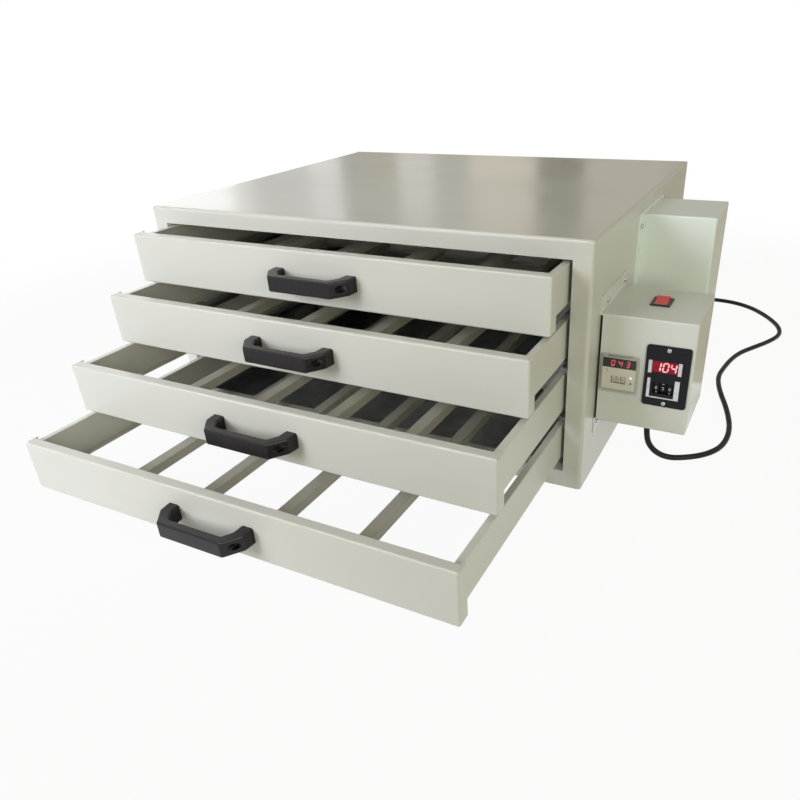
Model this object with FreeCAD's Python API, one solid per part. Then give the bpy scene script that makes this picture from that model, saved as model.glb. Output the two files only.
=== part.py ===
# Screen drying cabinet with four drawers and a heater and control unit on its right side
# Millimetres. +X is to the right, +Y is to the back, +Z is up.
# The origin is the middle of the cabinet's bottom face.
import FreeCAD, Part
import math
import os

V = FreeCAD.Vector
X_AXIS = V(1, 0, 0)
Y_AXIS = V(0, 1, 0)
Z_AXIS = V(0, 0, 1)

# Cabinet
cab_width = 720.0
cab_depth = 600.0
cab_height = 350.0
sheet = 1.2
casing_bend = 5.0
strip_side = 26.0
strip_top = 25.0
strip_bottom = 25.0
frame_return = 20.0
frame_lip = 10.0
base_flange = 15.0
back_flange = 12.0
back_screw_inset = 60.0
back_screw_pitch = 220.0

# Drawers, numbered from the top
drawer_count = 4
drawer_pull = (70.0, 138.0, 230.0, 330.0)
drawer_length = 545.0
front_gap = 1.5
front_side_gap = 1.5
front_sheet = 1.2
front_flange = 14.0
front_return = 19.0
front_bend = 3.0
side_inset = 4.0
side_drop = 4.0
side_rise = 16.0
tray_sheet = 1.2
tray_top_flange = 9.0
tray_bottom_flange = 12.0
tray_bend = 1.2
bar_count = 4
bar_pitch = 121.5
bar_width = 18.0
bar_gap = 0.95
bar_wall = 1.0

# Runners
runner_gap = 0.4
runner_sheet = 1.2
runner_start = 24.0
runner_end_gap = 14.0
runner_ledge = 20.0
runner_lip = 10.0
runner_side_gap = 1.2
runner_wall_flange = 14.0
runner_window_margin = 8.0

# Drawer handles
handle_span = 134.0
handle_grip = 98.0
handle_reach = 38.0
handle_height = 22.0
handle_foot = 17.0
handle_bar = 12.0
handle_edge = 2.6
handle_corner = 4.0
handle_seat = 13.5
handle_bore = 9.6
handle_bolt = 5.0
handle_head = 8.5
handle_head_height = 5.0
handle_key = 4.0
handle_key_depth = 2.5
handle_nut = 8.0
handle_nut_height = 4.0
handle_bolt_end = 1.5

# Control box on the right side
box_front = 47.0
box_depth = 125.0
box_width = 123.5
box_bottom = 90.0
box_height = 155.5
box_sheet = 1.2
box_bend = 2.5
box_flange = 22.0
box_standoff = 3.5
box_screw_front = 26.0
box_screw_low_front = 16.0
box_screw_back = 6.0
box_screw_rise = 10.0

# Fan and heater housing on the right side
fan_front = 250.0
fan_depth = 120.0
fan_width = 104.0
fan_bottom = 90.0
fan_top_gap = 21.0
fan_sheet = 1.2
fan_bend = 2.5
fan_flange = 24.0
fan_flange_rise = 3.0
fan_flange_corner = 9.0
fan_screw_front = 17.0
fan_screw_back = 8.0
fan_screw_drop = 19.0
fan_screw_top = 6.0

# Screws that hold both housings and the back
screw_thread = 4.0
screw_length = 9.0
screw_head = 7.6
screw_head_height = 2.4
screw_recess = 1.2

# Air openings
slot_length = 84.0
slot_height = 10.0
slot_pitch = 16.0
slot_rise = 12.0
slots_per_drawer = 3
slot_drawers = 3
vent_length = 17.0
vent_height = 1.8
vent_pitch = 3.2
vent_count = 4
vent_start = 31.0
vent_drop = 50.0
exhaust_length = 90.0
exhaust_height = 6.0
exhaust_pitch = 14.0
exhaust_count = 5
exhaust_drop = 100.0

# Axial fan
fan_size = 92.0
fan_thick = 25.0
fan_bore = 86.0
fan_hub = 36.0
fan_motor_hub = 34.0
fan_blades = 7
fan_blade_tip_gap = 2.0
fan_blade_thick = 1.6
fan_blade_pitch = 38.0
fan_axle = 3.0
fan_axle_gap = 0.15
fan_centre_drop = 58.0
fan_hole_pitch = 82.5
guard_wire = 2.0
guard_stand = 5.0
guard_rings = 4
guard_eye = 8.5
fan_screw_length = 20.0

# Heater
heater_rod = 8.0
heater_spread = 46.0
heater_length = 150.0
heater_low = 112.0
heater_offset = 48.0
heater_fin = 22.0
heater_fin_thick = 0.8
heater_fin_pitch = 12.0
heater_plate = 2.0
heater_plate_depth = 66.0
heater_plate_width = 84.0
heater_pin = 3.0
heater_pin_length = 14.0

# Temperature controller
ctl_left = 3.2
ctl_bottom = 50.0
ctl_size = 48.0
ctl_body = 44.6
ctl_body_depth = 78.0
ctl_bezel = 4.0
ctl_face_depth = 1.2
ctl_band = 13.5
ctl_face = 44.0
cover_wall = 1.5
cover_gap = 0.3
cover_depth = 8.0
hinge_rise = 1.6
hinge_barrel = 2.8
hinge_pin = 1.3
hinge_pin_gap = 0.05
hinge_width = 31.0
hinge_lug = 6.0
hinge_side_gap = 0.3
hinge_clear = 0.6
wheel_radius = 8.5
wheel_width = 5.4
wheel_pitch = 6.2
wheel_axle = 2.0
wheel_axle_gap = 0.15
wheel_proud = 0.6
wheel_window_gap = 0.4

# Timer
timer_right = 4.0
timer_top = 32.5
timer_width = 56.0
timer_height = 85.0
timer_corner = 4.0
timer_plate = 2.0
timer_body_width = 46.0
timer_body_height = 66.0
timer_body_depth = 72.0
timer_screw_inset = 5.2
timer_screw = 3.0
timer_head = 5.6
timer_head_height = 1.6
timer_frame_width = 42.0
timer_frame_height = 17.5
timer_frame_drop = 20.5
timer_frame_side = 4.4
timer_frame_proud = 1.2
timer_window_height = 15.5
timer_low_width = 41.0
timer_low_height = 27.5
timer_low_drop = 45.5
timer_low_side = 3.8
timer_low_wide_side = 6.2
timer_low_rim = 1.6
timer_shift = -2.7
timer_wheel_radius = 12.0
timer_wheel_width = 7.2
timer_wheel_pitch = 8.6

# Rocker switch
rocker_centre_x = 64.0
rocker_centre_y = 68.0
rocker_bezel_x = 26.0
rocker_bezel_y = 34.0
rocker_bezel_thick = 2.0
rocker_body_x = 22.0
rocker_body_y = 29.5
rocker_body_depth = 24.0
rocker_key_x = 17.0
rocker_key_y = 25.0
rocker_key_gap_x = 0.4
rocker_key_gap_y = 1.0
rocker_well = 12.0
rocker_tilt = 9.0
rocker_pivot_depth = 4.0
rocker_pin = 2.4
rocker_tab_width = 4.8
rocker_tab_thick = 0.8
rocker_tab_length = 8.0

# Electrical parts inside the control box
block_length = 62.0
block_depth = 20.0
block_height = 18.0
block_poles = 6
relay_width = 28.0
relay_depth = 36.0
relay_height = 40.0

# Temperature probe
probe_tube = 5.0
probe_length = 20.0
probe_nut = 10.0
probe_nut_thick = 5.0
probe_y = 150.0
probe_rise = 25.0

# Mains cord
cord_diameter = 8.5
gland_x = 63.0
gland_y = 65.0
gland_thread = 16.0
gland_hex = 20.0
gland_hex_height = 5.0
gland_nut_height = 5.0
relief_length = 20.0
relief_tip = 10.5
coil_radius = 49.5
coil_gap = 0.8
coil_turns = 3
coil_centre = V(266.0, 490.0, 0)
plug_length = 40.0
plug_width = 34.0
plug_edge = 4.0
plug_tail = 40.0
plug_tail_end = 16.0
plug_blade_length = 18.0
plug_blade_width = 6.4
plug_blade_thick = 1.6

# Derived places
left = -cab_width / 2
right = cab_width / 2
front = -cab_depth / 2
back = cab_depth / 2
open_left = left + strip_side
open_right = right - strip_side
open_low = strip_bottom
open_high = cab_height - strip_top
drawer_pitch = (open_high - open_low) / drawer_count
front_width = open_right - open_left - 2 * front_side_gap
front_height = drawer_pitch - front_gap
side_x = front_width / 2 - side_inset
box_x0 = right
box_x1 = right + box_width
box_y0 = front + box_front
box_y1 = box_y0 + box_depth
box_z0 = box_bottom
box_z1 = box_bottom + box_height
fan_x1 = right + fan_width
fan_y0 = front + fan_front
fan_y1 = fan_y0 + fan_depth
fan_z0 = fan_bottom
fan_z1 = cab_height - fan_top_gap
tray_thickness = front_height - side_drop - side_rise
handle_screw_pitch = handle_span - handle_foot
handle_middle = front_height / 2
bar_low = side_rise + tray_sheet
bar_height = handle_middle - handle_nut / math.sqrt(3) - bar_gap - bar_low
coil_step = cord_diameter + coil_gap
coil_layer = cord_diameter + coil_gap
plug_thick = cord_diameter + 2 * coil_layer


def save(name, shape):
    """Write one sub-part and say how many solids it has."""
    solids = shape.Solids
    good = shape.isValid() and all(s.Volume > 0 for s in solids)
    print(name, len(solids), "solids", round(shape.Volume), "valid" if good else "NOT VALID")
    shape.exportStep("parts/" + name + ".step")


def box(x0, x1, y0, y1, z0, z1):
    """A block between two corners."""
    return Part.makeBox(x1 - x0, y1 - y0, z1 - z0, V(x0, y0, z0))


def cylinder(radius, length, start, axis):
    """A cylinder from a start point along an axis."""
    return Part.makeCylinder(radius, length, start, axis)


def fuse(shapes):
    """Join shapes that touch into one shape without seams."""
    whole = shapes[0]
    if len(shapes) > 1:
        whole = shapes[0].multiFuse(shapes[1:])
    return whole.removeSplitter()


def cut(shape, tools):
    """Take the tools away from a shape."""
    return shape.cut(tools)


def group(shapes):
    """Several separate solids in one node."""
    return Part.makeCompound(shapes)


def rounded(shape, radius, chosen):
    """Round the straight edges that a test chooses by their middle and direction."""
    edges = []
    for edge in shape.Edges:
        ends = [v.Point for v in edge.Vertexes]
        if len(ends) == 2 and edge.Curve.TypeId == "Part::GeomLine":
            run = (ends[1] - ends[0]).normalize()
            if chosen((ends[0] + ends[1]) * 0.5, run):
                edges.append(edge)
    return shape.makeFillet(radius, edges)


def along(run, axis):
    """Whether an edge runs along an axis."""
    return abs(abs(run.dot(axis)) - 1) < 1e-6


def near(a, b):
    """Whether two places are the same."""
    return abs(a - b) < 1e-4


def rounded_plate(x0, x1, z0, z1, y0, y1, radius):
    """A plate that faces the front, with round corners."""
    plate = box(x0, x1, y0, y1, z0, z1)
    return rounded(plate, radius, lambda mid, run: along(run, Y_AXIS))


def pan_screw(head, head_height, thread, length, seat, axis):
    """A round-headed screw: the head stands out against the axis, the thread goes along it."""
    shank = cylinder(thread / 2, length, seat, axis)
    cap = cylinder(head / 2, head_height, seat - axis * head_height, axis)
    rim = [e for e in cap.Edges if e.Curve.TypeId == "Part::GeomCircle"]
    outer = max(rim, key=lambda e: (seat - e.CenterOfMass).dot(axis))
    cap = cap.makeFillet(head_height * 0.45, [outer])
    return fuse([cap, shank])


def cross_recess(head_height, seat, axis, side, up):
    """The cross-shaped recess in a screw head."""
    top = seat - axis * head_height
    arms = []
    for a, b in ((side, up), (up, side)):
        half = 1.9
        slim = 0.45
        corner = top - a * half - b * slim
        arms.append(block_from(corner, a * 2 * half, b * 2 * slim, axis * screw_recess))
    return arms


def block_from(corner, a, b, c):
    """A block from a corner and its three sides."""
    face = Part.Face(Part.makePolygon([corner, corner + a, corner + a + b, corner + b, corner]))
    return face.extrude(c)


def screw(seat, axis, up, hole_tools):
    """A housing screw with its recess. The hole that it needs is added to the tools."""
    side = axis.cross(up)
    body = pan_screw(screw_head, screw_head_height, screw_thread, screw_length, seat, axis)
    hole_tools.append(cylinder(screw_thread / 2, screw_length * 2, seat - axis * screw_length, axis))
    return cut(body, cross_recess(screw_head_height, seat, axis, side, up))


# Screw places: seat on the flange, direction of the thread
def box_screw_seats():
    """Seats of the control box's screws, on its upper and lower flanges."""
    seats = []
    x = right + box_sheet
    seats.append(V(x, box_y0 + box_screw_front, box_z1 + box_screw_rise))
    seats.append(V(x, box_y1 - box_screw_back, box_z1 + box_screw_rise))
    seats.append(V(x, box_y0 + box_screw_low_front, box_z0 - box_screw_rise))
    seats.append(V(x, box_y1 - box_screw_back, box_z0 - box_screw_rise))
    return seats


def fan_screw_seats():
    """Seats of the fan housing's screws, on its front and back flanges."""
    seats = []
    x = right + fan_sheet
    top = fan_z1 + fan_flange_rise
    low = fan_z0 - fan_flange_rise
    y0 = fan_y0 - fan_flange + fan_screw_front
    y1 = fan_y1 + fan_flange - fan_screw_back
    seats.append(V(x, y0, top - fan_screw_drop))
    seats.append(V(x, y1, top - fan_screw_top))
    seats.append(V(x, y0, low + fan_screw_drop))
    seats.append(V(x, y1, low + fan_screw_drop))
    return seats


def back_screw_seats():
    """Seats of the back panel's screws, round its edge."""
    seats = []
    y = back + sheet
    inset = back_flange / 2
    for x in (left + sheet + inset, right - sheet - inset):
        for z in (back_screw_inset, cab_height - back_screw_inset):
            seats.append(V(x, y, z))
    for i in (-1, 0, 1):
        for z in (cab_height - sheet - inset, sheet + inset):
            seats.append(V(i * back_screw_pitch, y, z))
    return seats


# Cabinet
def make_casing():
    """Folded casing: top, two sides and the strips round the drawer opening."""
    outer = box(left, right, front, back, 0, cab_height)
    bend = casing_bend

    def outer_edge(mid, run):
        top = near(mid.z, cab_height) and (near(mid.x, left) or near(mid.x, right))
        return top or (near(mid.y, front) and not near(mid.z, 0))

    outer = rounded(outer, bend, outer_edge)
    inner = box(left + sheet, right - sheet, front + sheet, back + sheet, -sheet, cab_height - sheet)

    def inner_edge(mid, run):
        top = near(mid.z, cab_height - sheet) and not near(mid.y, back + sheet)
        side = near(mid.y, front + sheet) and along(run, Z_AXIS)
        return top or side

    inner = rounded(inner, bend - sheet, inner_edge)
    shell = outer.cut(inner)
    opening = box(open_left, open_right, front - sheet, front + 2 * sheet + bend, open_low, open_high)
    tools = [opening]
    # Slots that let warm air in from the heater housing, above each runner's ledge
    middle = (fan_y0 + fan_y1) / 2
    for k in range(slot_drawers):
        for i in range(slots_per_drawer):
            z = runner_top(k) + slot_rise + i * slot_pitch
            tools.append(box(right - 2 * sheet, right + sheet, middle - slot_length / 2,
                             middle + slot_length / 2, z - slot_height / 2, z + slot_height / 2))
    # Small vents at the front of the left side
    for i in range(vent_count):
        z = cab_height - vent_drop + i * vent_pitch
        tools.append(box(left - sheet, left + 2 * sheet, front + vent_start,
                         front + vent_start + vent_length, z, z + vent_height))
    # Hole for the temperature probe
    tools.append(cylinder(probe_tube / 2, 4 * sheet, probe_place() - X_AXIS * 2 * sheet, X_AXIS))
    for seat in box_screw_seats() + fan_screw_seats():
        tools.append(cylinder(screw_thread / 2, 4 * sheet, seat - X_AXIS * 3 * sheet, X_AXIS))
    shell = cut(shell, tools)
    # Flanges at the back edge that take the back panel's screws
    y0 = back - sheet
    depth = back_flange
    flanges = [
        box(left + sheet, left + sheet + depth, y0, back, base_flange, cab_height - sheet - bend),
        box(right - sheet - depth, right - sheet, y0, back, base_flange, cab_height - sheet - bend),
        box(left + sheet + bend, right - sheet - bend, y0, back, cab_height - sheet - depth, cab_height - sheet),
    ]
    shell = fuse([shell] + flanges)
    holes = [cylinder(screw_thread / 2, 4 * sheet, s - Y_AXIS * 3 * sheet, Y_AXIS) for s in back_screw_seats()]
    return cut(shell, holes)


def make_front_frame():
    """Stiffening frame behind the front strips, with returns round the opening."""
    y0 = front + sheet
    y1 = y0 + frame_return
    t = sheet
    ring = box(open_left - t, open_right + t, y0, y1, open_low - t, open_high + t)
    lip = box(open_left - t - frame_lip, open_right + t + frame_lip, y1 - t, y1,
              open_low - t - frame_lip, open_high + t + frame_lip)
    hole = box(open_left, open_right, y0 - t, y1 + t, open_low, open_high)
    return cut(fuse([ring, lip]), [hole])


def make_base_panel():
    """Closing panel of the bottom, with edges turned up along the sides."""
    t = sheet
    x0 = left + t
    x1 = right - t
    y0 = front + t
    plate = box(x0, x1, y0, back, 0, t)
    plate = rounded(plate, casing_bend - t, lambda mid, run: along(run, Z_AXIS) and near(mid.y, y0))
    edges = [
        box(x0, x0 + t, y0 + casing_bend, back, 0, base_flange),
        box(x1 - t, x1, y0 + casing_bend, back, 0, base_flange),
        box(x0, x1, back - t, back, 0, base_flange),
    ]
    holes = [cylinder(screw_thread / 2, 4 * t, s - Y_AXIS * 3 * t, Y_AXIS) for s in back_screw_seats()]
    return cut(fuse([plate] + edges), holes)


def make_back_panel():
    """Flat back panel with exhaust slots, screwed over the casing's flanges."""
    t = sheet
    panel = box(left, right, back, back + t, 0, cab_height)
    tools = [cylinder(screw_thread / 2, 4 * t, s - Y_AXIS * 3 * t, Y_AXIS) for s in back_screw_seats()]
    for side in (-1, 0, 1):
        x = side * back_screw_pitch
        for i in range(exhaust_count):
            z = cab_height - exhaust_drop + i * exhaust_pitch
            tools.append(box(x - exhaust_length / 2, x + exhaust_length / 2, back - t, back + 2 * t,
                             z, z + exhaust_height))
    return cut(panel, tools)


def make_back_screws():
    """Screws of the back panel."""
    spare = []
    return group([screw(seat, Y_AXIS * -1, Z_AXIS, spare) for seat in back_screw_seats()])


# Drawers
def drawer_low(k):
    """Height of the bottom edge of a drawer's front."""
    return open_low + (drawer_count - 1 - k) * drawer_pitch + front_gap / 2


def runner_top(k):
    """Height of the runner's ledge under a drawer's side wall."""
    return drawer_low(k) + side_rise - runner_gap


def drawer_face(k):
    """Place of a drawer's front face along Y in the rest pose, with the drawer pulled out."""
    return front - drawer_pull[k]


def make_drawer_front(k):
    """Pan-folded drawer front with a softly bent edge."""
    t = front_sheet
    half = front_width / 2
    y0 = drawer_face(k)
    z0 = drawer_low(k)
    z1 = z0 + front_height
    outer = box(-half, half, y0, y0 + front_return, z0, z1)

    def face_edge(mid, run):
        corner = along(run, Y_AXIS)
        return corner or near(mid.y, y0)

    outer = rounded(outer, front_bend, face_edge)
    inner = box(-half + t, half - t, y0 + t, y0 + front_return + t, z0 + t, z1 - t)

    def inner_edge(mid, run):
        corner = along(run, Y_AXIS)
        return corner or near(mid.y, y0 + t)

    inner = rounded(inner, front_bend - t, inner_edge)
    pan = outer.cut(inner)
    # The upper and lower flanges are shorter than the returns at the ends
    trim = box(-half + front_bend + t, half - front_bend - t, y0 + front_flange, y0 + front_return + t,
               z0 - t, z1 + t)
    holes = []
    for s in (-1, 1):
        seat = V(s * handle_screw_pitch / 2, y0 - t, z0 + handle_middle)
        holes.append(cylinder(handle_bolt / 2, 3 * t, seat, Y_AXIS))
    return cut(pan, [trim] + holes)


def make_drawer_tray(k):
    """Side walls and back wall of a drawer, one folded channel without a floor."""
    t = tray_sheet
    y0 = drawer_face(k) + front_sheet
    y1 = drawer_face(k) + drawer_length
    z0 = drawer_low(k) + side_rise
    z1 = z0 + tray_thickness
    outer = box(-side_x, side_x, y0, y1, z0, z1)

    def outer_edge(mid, run):
        rim = near(mid.z, z0) or near(mid.z, z1)
        upright = along(run, Z_AXIS) and near(mid.y, y1)
        return upright or (rim and not near(mid.y, y0))

    outer = rounded(outer, tray_bend, outer_edge)
    inner = box(-side_x + t, side_x - t, y0 - t, y1 - t, z0 + t, z1 - t)
    upper = box(-side_x + tray_top_flange, side_x - tray_top_flange, y0 - t, y1 - tray_top_flange,
                z1 - 2 * t, z1 + t)
    lower = box(-side_x + tray_bottom_flange, side_x - tray_bottom_flange, y0 - t, y1 - tray_bottom_flange,
                z0 - t, z0 + 2 * t)
    return cut(outer, [inner, upper, lower])


def bar_places():
    """Places of a drawer's bars along X."""
    first = -(bar_count - 1) * bar_pitch / 2
    return [first + i * bar_pitch for i in range(bar_count)]


def make_drawer_bars(k):
    """Square tubes from the front to the back of a drawer, on which a screen lies."""
    y0 = drawer_face(k) + front_sheet
    y1 = drawer_face(k) + drawer_length - tray_sheet
    z0 = drawer_low(k) + bar_low
    bars = []
    for x in bar_places():
        outer = box(x - bar_width / 2, x + bar_width / 2, y0, y1, z0, z0 + bar_height)
        outer = rounded(outer, bar_wall, lambda mid, run: along(run, Y_AXIS))
        inner = box(x - bar_width / 2 + bar_wall, x + bar_width / 2 - bar_wall, y0 - 1, y1 + 1,
                    z0 + bar_wall, z0 + bar_height - bar_wall)
        bars.append(outer.cut(inner))
    return group(bars)


def make_handle(k):
    """Bridge handle with slanted ends and a deep bore for a bolt in each foot, moulded in one piece."""
    y0 = drawer_face(k)
    zc = drawer_low(k) + handle_middle
    half = handle_span / 2
    grip = handle_grip / 2
    reach = handle_reach
    inner_reach = reach - handle_bar
    foot = half - handle_foot
    shoulder = reach * 0.42
    outline = [
        (-half, 0), (-half + 1.5, -shoulder), (-grip, -reach), (grip, -reach), (half - 1.5, -shoulder),
        (half, 0), (foot, 0), (foot - 1.0, -inner_reach * 0.55), (foot - 9.0, -inner_reach),
        (-foot + 9.0, -inner_reach), (-foot + 1.0, -inner_reach * 0.55), (-foot, 0),
    ]
    points = [V(x, y0 + y, zc - handle_height / 2) for x, y in outline]
    face = Part.Face(Part.makePolygon(points + points[:1]))
    body = face.extrude(Z_AXIS * handle_height)

    def soft(mid, run):
        level = not near(mid.z, zc - handle_height / 2) and not near(mid.z, zc + handle_height / 2)
        return not near(mid.y, y0) and not level

    body = rounded(body, handle_corner, lambda mid, run: along(run, Z_AXIS) and not near(mid.y, y0))
    body = rounded(body, handle_edge, soft)
    holes = []
    for s in (-1, 1):
        x = s * handle_screw_pitch / 2
        holes.append(cylinder(handle_bolt / 2, handle_reach, V(x, y0 + 1, zc), Y_AXIS * -1))
        holes.append(cylinder(handle_bore / 2, handle_reach, V(x, y0 - handle_seat, zc), Y_AXIS * -1))
    return cut(body, holes)


def make_handle_screws(k):
    """Two socket-head bolts through the handle's feet, with their nuts behind the drawer's front."""
    y0 = drawer_face(k)
    zc = drawer_low(k) + handle_middle
    pieces = []
    for s in (-1, 1):
        x = s * handle_screw_pitch / 2
        seat = V(x, y0 - handle_seat, zc)
        length = handle_seat + front_sheet + handle_nut_height + handle_bolt_end
        head = cylinder(handle_head / 2, handle_head_height, seat, Y_AXIS * -1)
        bolt = fuse([head, cylinder(handle_bolt / 2, length, seat, Y_AXIS)])
        socket = hexagon(handle_key, V(x, seat.y - handle_head_height + handle_key_depth, zc), Y_AXIS)
        bolt = bolt.cut(Part.Face(Part.makePolygon(socket)).extrude(Y_AXIS * -handle_head_height))
        place = V(x, y0 + front_sheet, zc)
        nut = Part.Face(Part.makePolygon(hexagon(handle_nut, place, Y_AXIS))).extrude(Y_AXIS * handle_nut_height)
        nut = nut.cut(cylinder(handle_bolt / 2, handle_nut_height, place, Y_AXIS))
        pieces += [bolt, nut]
    return group(pieces)


def make_runners(sign):
    """Runners of one side: a ledge under each drawer, a keeper beside and above its side wall."""
    t = runner_sheet
    wall = right - sheet
    y0 = front + runner_start
    y1 = back - runner_end_gap
    middle = (fan_y0 + fan_y1) / 2
    runners = []
    for k in range(drawer_count):
        ledge_top = runner_top(k)
        keep_x = side_x + runner_side_gap
        lip_z = ledge_top + runner_gap + tray_thickness + runner_gap
        parts = [
            box(side_x - runner_ledge, wall, y0, y1, ledge_top - t, ledge_top),
            box(wall - t, wall, y0, y1, ledge_top - runner_wall_flange, ledge_top),
            box(keep_x, keep_x + t, y0, y1, ledge_top - t, lip_z + t),
            box(side_x - runner_lip, keep_x + t, y0, y1, lip_z, lip_z + t),
        ]
        window = box(keep_x - t, keep_x + 2 * t, middle - slot_length / 2, middle + slot_length / 2,
                     ledge_top + runner_window_margin, lip_z - runner_window_margin)
        tools = [window]
        if sign > 0:
            for seat in box_screw_seats() + fan_screw_seats():
                tools.append(cylinder(screw_thread / 2, screw_length * 2, seat, X_AXIS * -1))
        runner = cut(fuse(parts), tools)
        if sign < 0:
            runner = runner.mirror(V(0, 0, 0), X_AXIS)
        runners.append(runner)
    return group(runners)


# Control box
def timer_box():
    """Left, right, bottom and top of the timer's plate."""
    x1 = box_x1 - timer_right
    z1 = box_z1 - timer_top
    return x1 - timer_width, x1, z1 - timer_height, z1


def controller_box():
    """Left, right, bottom and top of the temperature controller's bezel."""
    x0 = box_x0 + box_standoff + ctl_left
    z0 = box_z0 + ctl_bottom + cover_wall + cover_gap
    return x0, x0 + ctl_size, z0, z0 + ctl_size


def make_control_box():
    """Folded box of the controls, open towards the cabinet, with flanges above and below."""
    t = box_sheet
    outer = box(box_x0, box_x1, box_y0, box_y1, box_z0, box_z1)

    def outer_edge(mid, run):
        if near(mid.x, box_x0):
            return False
        return not (near(mid.y, box_y1) and not near(mid.x, box_x1))

    outer = rounded(outer, box_bend, outer_edge)
    inner = box(box_x0 - t, box_x1 - t, box_y0 + t, box_y1 - t, box_z0 + t, box_z1 - t)
    shell = outer.cut(inner)
    # The front sheet stands a little off the cabinet's side
    slit = box(box_x0 - t, box_x0 + box_standoff, box_y0 - t, box_y0 + 2 * t, box_z0 + box_bend, box_z1 - box_bend)
    upper = box(box_x0, box_x0 + t, box_y0, box_y1, box_z1 - t, box_z1 + box_flange)
    lower = box(box_x0, box_x0 + t, box_y0, box_y1, box_z0 - box_flange, box_z0 + t)
    shell = fuse([cut(shell, [slit]), upper, lower])
    tools = []
    cx0, cx1, cz0, cz1 = controller_box()
    margin = (ctl_size - ctl_body) / 2
    tools.append(box(cx0 + margin, cx1 - margin, box_y0 - t, box_y0 + 3 * t, cz0 + margin, cz1 - margin))
    tx0, tx1, tz0, tz1 = timer_box()
    xm = (tx0 + tx1) / 2
    zm = (tz0 + tz1) / 2
    tools.append(box(xm - timer_body_width / 2, xm + timer_body_width / 2, box_y0 - t, box_y0 + 3 * t,
                     zm - timer_body_height / 2, zm + timer_body_height / 2))
    for z in (tz0 + timer_screw_inset, tz1 - timer_screw_inset):
        tools.append(cylinder(timer_screw / 2, 4 * t, V(xm, box_y0 - t, z), Y_AXIS))
    rx = box_x0 + rocker_centre_x
    ry = box_y0 + rocker_centre_y
    tools.append(box(rx - rocker_body_x / 2, rx + rocker_body_x / 2, ry - rocker_body_y / 2,
                     ry + rocker_body_y / 2, box_z1 - 3 * t, box_z1 + t))
    tools.append(cylinder(gland_thread / 2, 4 * t, V(box_x0 + gland_x, box_y0 + gland_y, box_z0 - t), Z_AXIS))
    for seat in box_screw_seats():
        tools.append(cylinder(screw_thread / 2, 4 * t, seat - X_AXIS * 2 * t, X_AXIS))
    return cut(shell, tools)


def make_side_screws(seats):
    """Screws through a housing's flanges into the cabinet's side."""
    spare = []
    return group([screw(seat, X_AXIS * -1, Z_AXIS, spare) for seat in seats])


# Fan and heater housing
def fan_centre():
    """Middle of the fan's opening in the housing's back wall."""
    return V(right + fan_width / 2, fan_y1, fan_z1 - fan_centre_drop)


def fan_corner_holes():
    """Places of the fan's four screws round its middle."""
    c = fan_centre()
    half = fan_hole_pitch / 2
    return [V(c.x + i * half, c.y, c.z + j * half) for i in (-1, 1) for j in (-1, 1)]


def make_fan_housing():
    """Folded housing of the fan and heater, open towards the cabinet, with flanges round it."""
    t = fan_sheet
    outer = box(right, fan_x1, fan_y0, fan_y1, fan_z0, fan_z1)
    outer = rounded(outer, fan_bend, lambda mid, run: not near(mid.x, right))
    inner = box(right - t, fan_x1 - t, fan_y0 + t, fan_y1 - t, fan_z0 + t, fan_z1 - t)
    flange = box(right, right + t, fan_y0 - fan_flange, fan_y1 + fan_flange,
                 fan_z0 - fan_flange_rise, fan_z1 + fan_flange_rise)
    flange = rounded(flange, fan_flange_corner, lambda mid, run: along(run, X_AXIS))
    shell = cut(fuse([outer, flange]), [inner])
    tools = [cylinder(fan_bore / 2, 4 * t, fan_centre() - Y_AXIS * 2 * t, Y_AXIS)]
    for place in fan_corner_holes():
        tools.append(cylinder(screw_thread / 2, 4 * t, place - Y_AXIS * 2 * t, Y_AXIS))
    for seat in fan_screw_seats():
        tools.append(cylinder(screw_thread / 2, 4 * t, seat - X_AXIS * 2 * t, X_AXIS))
    return cut(shell, tools)


def make_fan_frame():
    """Square frame of the axial fan, with its motor cup and four struts."""
    c = fan_centre()
    y1 = fan_y1 - fan_sheet
    y0 = y1 - fan_thick
    half = fan_size / 2
    frame = box(c.x - half, c.x + half, y0, y1, c.z - half, c.z + half)
    frame = rounded(frame, 5.0, lambda mid, run: along(run, Y_AXIS))
    frame = cut(frame, [cylinder(fan_bore / 2, fan_thick + 2, V(c.x, y0 - 1, c.z), Y_AXIS)])
    cup = cylinder(fan_motor_hub / 2, 4.0, V(c.x, y0, c.z), Y_AXIS)
    axle = cylinder(fan_axle / 2, fan_thick - 2.0, V(c.x, y0, c.z), Y_AXIS)
    struts = []
    for angle in (45, 135, 225, 315):
        strut = box(0, fan_bore / 2 + 1.5, 0, 3.0, -2.0, 2.0)
        strut.rotate(V(0, 0, 0), Y_AXIS, angle)
        strut.translate(V(c.x, y0, c.z))
        struts.append(strut)
    body = fuse([frame, cup, axle] + struts)
    holes = [cylinder(screw_thread / 2, fan_thick + 2, V(p.x, y0 - 1, p.z), Y_AXIS) for p in fan_corner_holes()]
    return cut(body, holes)


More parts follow.
